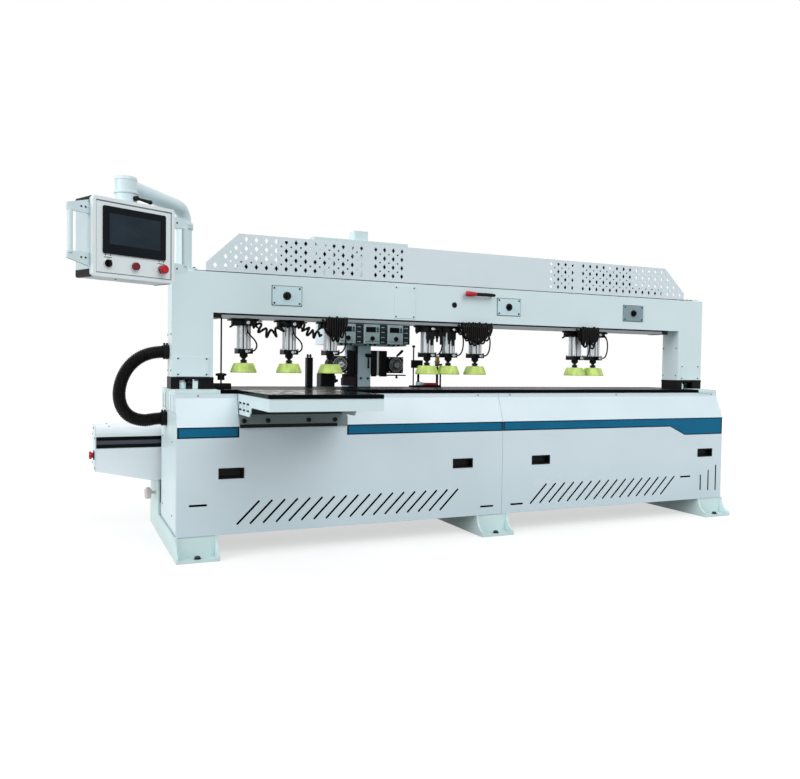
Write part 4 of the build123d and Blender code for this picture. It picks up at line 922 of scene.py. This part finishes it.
for x, y in product((-160, 160), (-135, 135)):
    box_heads.screw((x, y, -136), DOWN, 5, 2.6)
box_heads.done("box_screws", "control_box", "steel", dark_steel)
back.block((-172, 172), (-146, 146), (-136, -133.6), 1)
for k in range(6):
    y = -60 + 16 * k
    back.prism([(y, -135.8), (y + 10, -135.8), (y + 2, -139.6), (y, -140)], "X", -70, 70, 0.3)
back.done("box_back", "control_box", "white_paint")
display.block((-116, 115), (-26, 97), (1.6, 2.7), 0.4)
display.done("screen_glass", "control_box", "screen", glass)
for x, y in (((-172.6, 172.6), (-144.6, -140)), ((-172.6, 172.6), (140, 144.6)),
             ((-172.6, -169.4), (-140, 140)), ((169.4, 172.6), (-140, 140))):
    gasket.block(x, y, (-4.2, -3.2), 0.3)
gasket.done("panel_gasket", "control_box", "grey_paint", seam_grey)
for x in (-120, 124):
    for across in (-11, 11):
        marks.turned((x + across, -70, -4.2), UP, [(2.6, 0), (2.6, 0.7), (2, 1)], 14)
    marks.block((x - 17, x + 17), (-80.5, -78), (-4.2, -3.4), 0.3)
marks.done("panel_marks", "control_box", "black_plastic")
for x, inner, outer, high in ((-120, 15.6, 20, 5), (0, 16, 20.5, 6), (124, 11, 22, 6)):
    bezels.turned((x, -104, -4.1), UP, [(inner, 0), (outer, 0), (outer, high - 1.6), (outer - 1.8, high),
                                        (inner, high)], 32, True)
bezels.done("control_bezels", "control_box", "aluminium")

collar = Form()
collar.turned((*post_spot, 1536), UP,
              [(35.8, 0), (41, 0), (42, 1.5), (42, 12), (40, 13.6), (35.8, 13.6)], 40, True)
collar.done("post_collar", "base", "white_paint")
arm_rings = Form()
arm_rings.turned((*post_spot, 1550.6), UP,
                 [(32.8, 0), (40, 0), (42, 1.5), (42, 12), (41, 13.6), (32.8, 13.6)], 40, True)
arm_rings.turned((*swivel_spot, 1594), UP,
                 [(43.8, 0), (47, 0), (48.5, 1.5), (48.5, 8), (47, 9.5), (43.8, 9.5)], 40, True)
arm_rings.turned((*swivel_spot, 1650), UP,
                 [(43.8, 0), (45, 0), (45, 9), (43, 12.5), (36, 13.2), (5, 13.2)], 40)
arm_rings.done("arm_collars", "control_arm", "white_paint")
tip = Form()
tip.turned((-1785.1, -579.7, 1574), (1, 1, 0), [(7.8, 0), (9.5, 2), (9.5, 8), (7, 11.5), (3, 12.5)], 20)
tip.done("lever_tip", "clamp_lever", "black_plastic")


# Camera, light and floor

def look_from(yaw, pitch, roll, place):
    """Camera axes from the heading right of +Y, the tilt up and the roll."""
    ahead = Vector((sin(yaw) * cos(pitch), cos(yaw) * cos(pitch), sin(pitch)))
    right = Vector((cos(yaw), -sin(yaw), 0))
    up = right.cross(ahead)
    across = right * cos(roll) + up * sin(roll)
    upright = up * cos(roll) - right * sin(roll)
    return Matrix.Translation(place) @ Matrix((across, upright, -ahead)).transposed().to_4x4()


image_width, focal_pixels, sensor_mm = 800, 771.0127, 36
camera_place = (-2.14561, -4.01659, 0.89946)
lens_data = bpy.data.cameras.new("camera")
lens_data.sensor_fit = "HORIZONTAL"
lens_data.sensor_width = sensor_mm
lens_data.lens = sensor_mm * focal_pixels / image_width
lens_data.clip_end = 200
camera = bpy.data.objects.new("camera", lens_data)
camera.matrix_world = look_from(radians(24.0471), radians(-1.7986), radians(0.808), camera_place)
scene.collection.objects.link(camera)
scene.camera = camera
scene.view_settings.view_transform = "Standard"


def sun(name, direction, energy, spread):
    data = bpy.data.lights.new(name, "SUN")
    data.energy = energy
    data.angle = radians(spread)
    lamp = bpy.data.objects.new(name, data)
    lamp.rotation_euler = Vector(direction).to_track_quat("-Z", "Y").to_euler()
    scene.collection.objects.link(lamp)


sun("key_light", (-0.3, 0.85, -0.75), 1.15, 40)
sun("side_light", (0.9, 0.2, -0.35), 1.7, 40)
sun("back_light", (0.2, -0.9, -0.8), 0.4, 50)


def show_by_ray(tree, hidden, seen, output):
    """One shader for rays from the camera, a gloss or a glass, and another for the light on the machine."""
    nodes, links = tree.nodes, tree.links
    path = nodes.new("ShaderNodeLightPath")
    share = path.outputs["Is Camera Ray"]
    for ray in ("Is Glossy Ray", "Is Transmission Ray"):
        either = nodes.new("ShaderNodeMath")
        either.operation = "MAXIMUM"
        links.new(share, either.inputs[0])
        links.new(path.outputs[ray], either.inputs[1])
        share = either.outputs[0]
    choose = nodes.new("ShaderNodeMixShader")
    links.new(share, choose.inputs["Fac"])
    links.new(hidden.outputs[0], choose.inputs[1])
    links.new(seen.outputs[0], choose.inputs[2])
    links.new(choose.outputs["Shader"], nodes[output].inputs["Surface"])


world = bpy.data.worlds.new("studio")
scene.world = world
world.use_nodes = True
tree = world.node_tree
ambient = tree.nodes["Background"]
ambient.inputs["Color"].default_value = (0.98, 0.99, 1.0, 1.0)
ambient.inputs["Strength"].default_value = 0.66
backdrop = new_node(tree.nodes, "ShaderNodeBackground", Color=(1.0, 1.0, 1.0, 1.0), Strength=1.0)
show_by_ray(tree, ambient, backdrop, "World Output")

ground = bpy.data.materials.new("pale_floor")
ground.use_nodes = True
tree = ground.node_tree
tree.nodes.remove(tree.nodes["Principled BSDF"])
pale = new_node(tree.nodes, "ShaderNodeBsdfDiffuse", Color=(0.36, 0.36, 0.36, 1.0))
lit = new_node(tree.nodes, "ShaderNodeBsdfDiffuse", Color=(0.42, 0.42, 0.42, 1.0))
glow = new_node(tree.nodes, "ShaderNodeEmission", Strength=0.6)
both = tree.nodes.new("ShaderNodeAddShader")
tree.links.new(lit.outputs["BSDF"], both.inputs[0])
tree.links.new(glow.outputs["Emission"], both.inputs[1])
show_by_ray(tree, pale, both, "Material Output")
far = 90.0
floor_mesh = bpy.data.meshes.new("floor")
floor_mesh.from_pydata([(-far, -far, 0), (far, -far, 0), (far, far, 0), (-far, far, 0)], [], [(0, 1, 2, 3)])
floor_mesh.materials.append(ground)
floor = bpy.data.objects.new("floor", floor_mesh)
scene.collection.objects.link(floor)
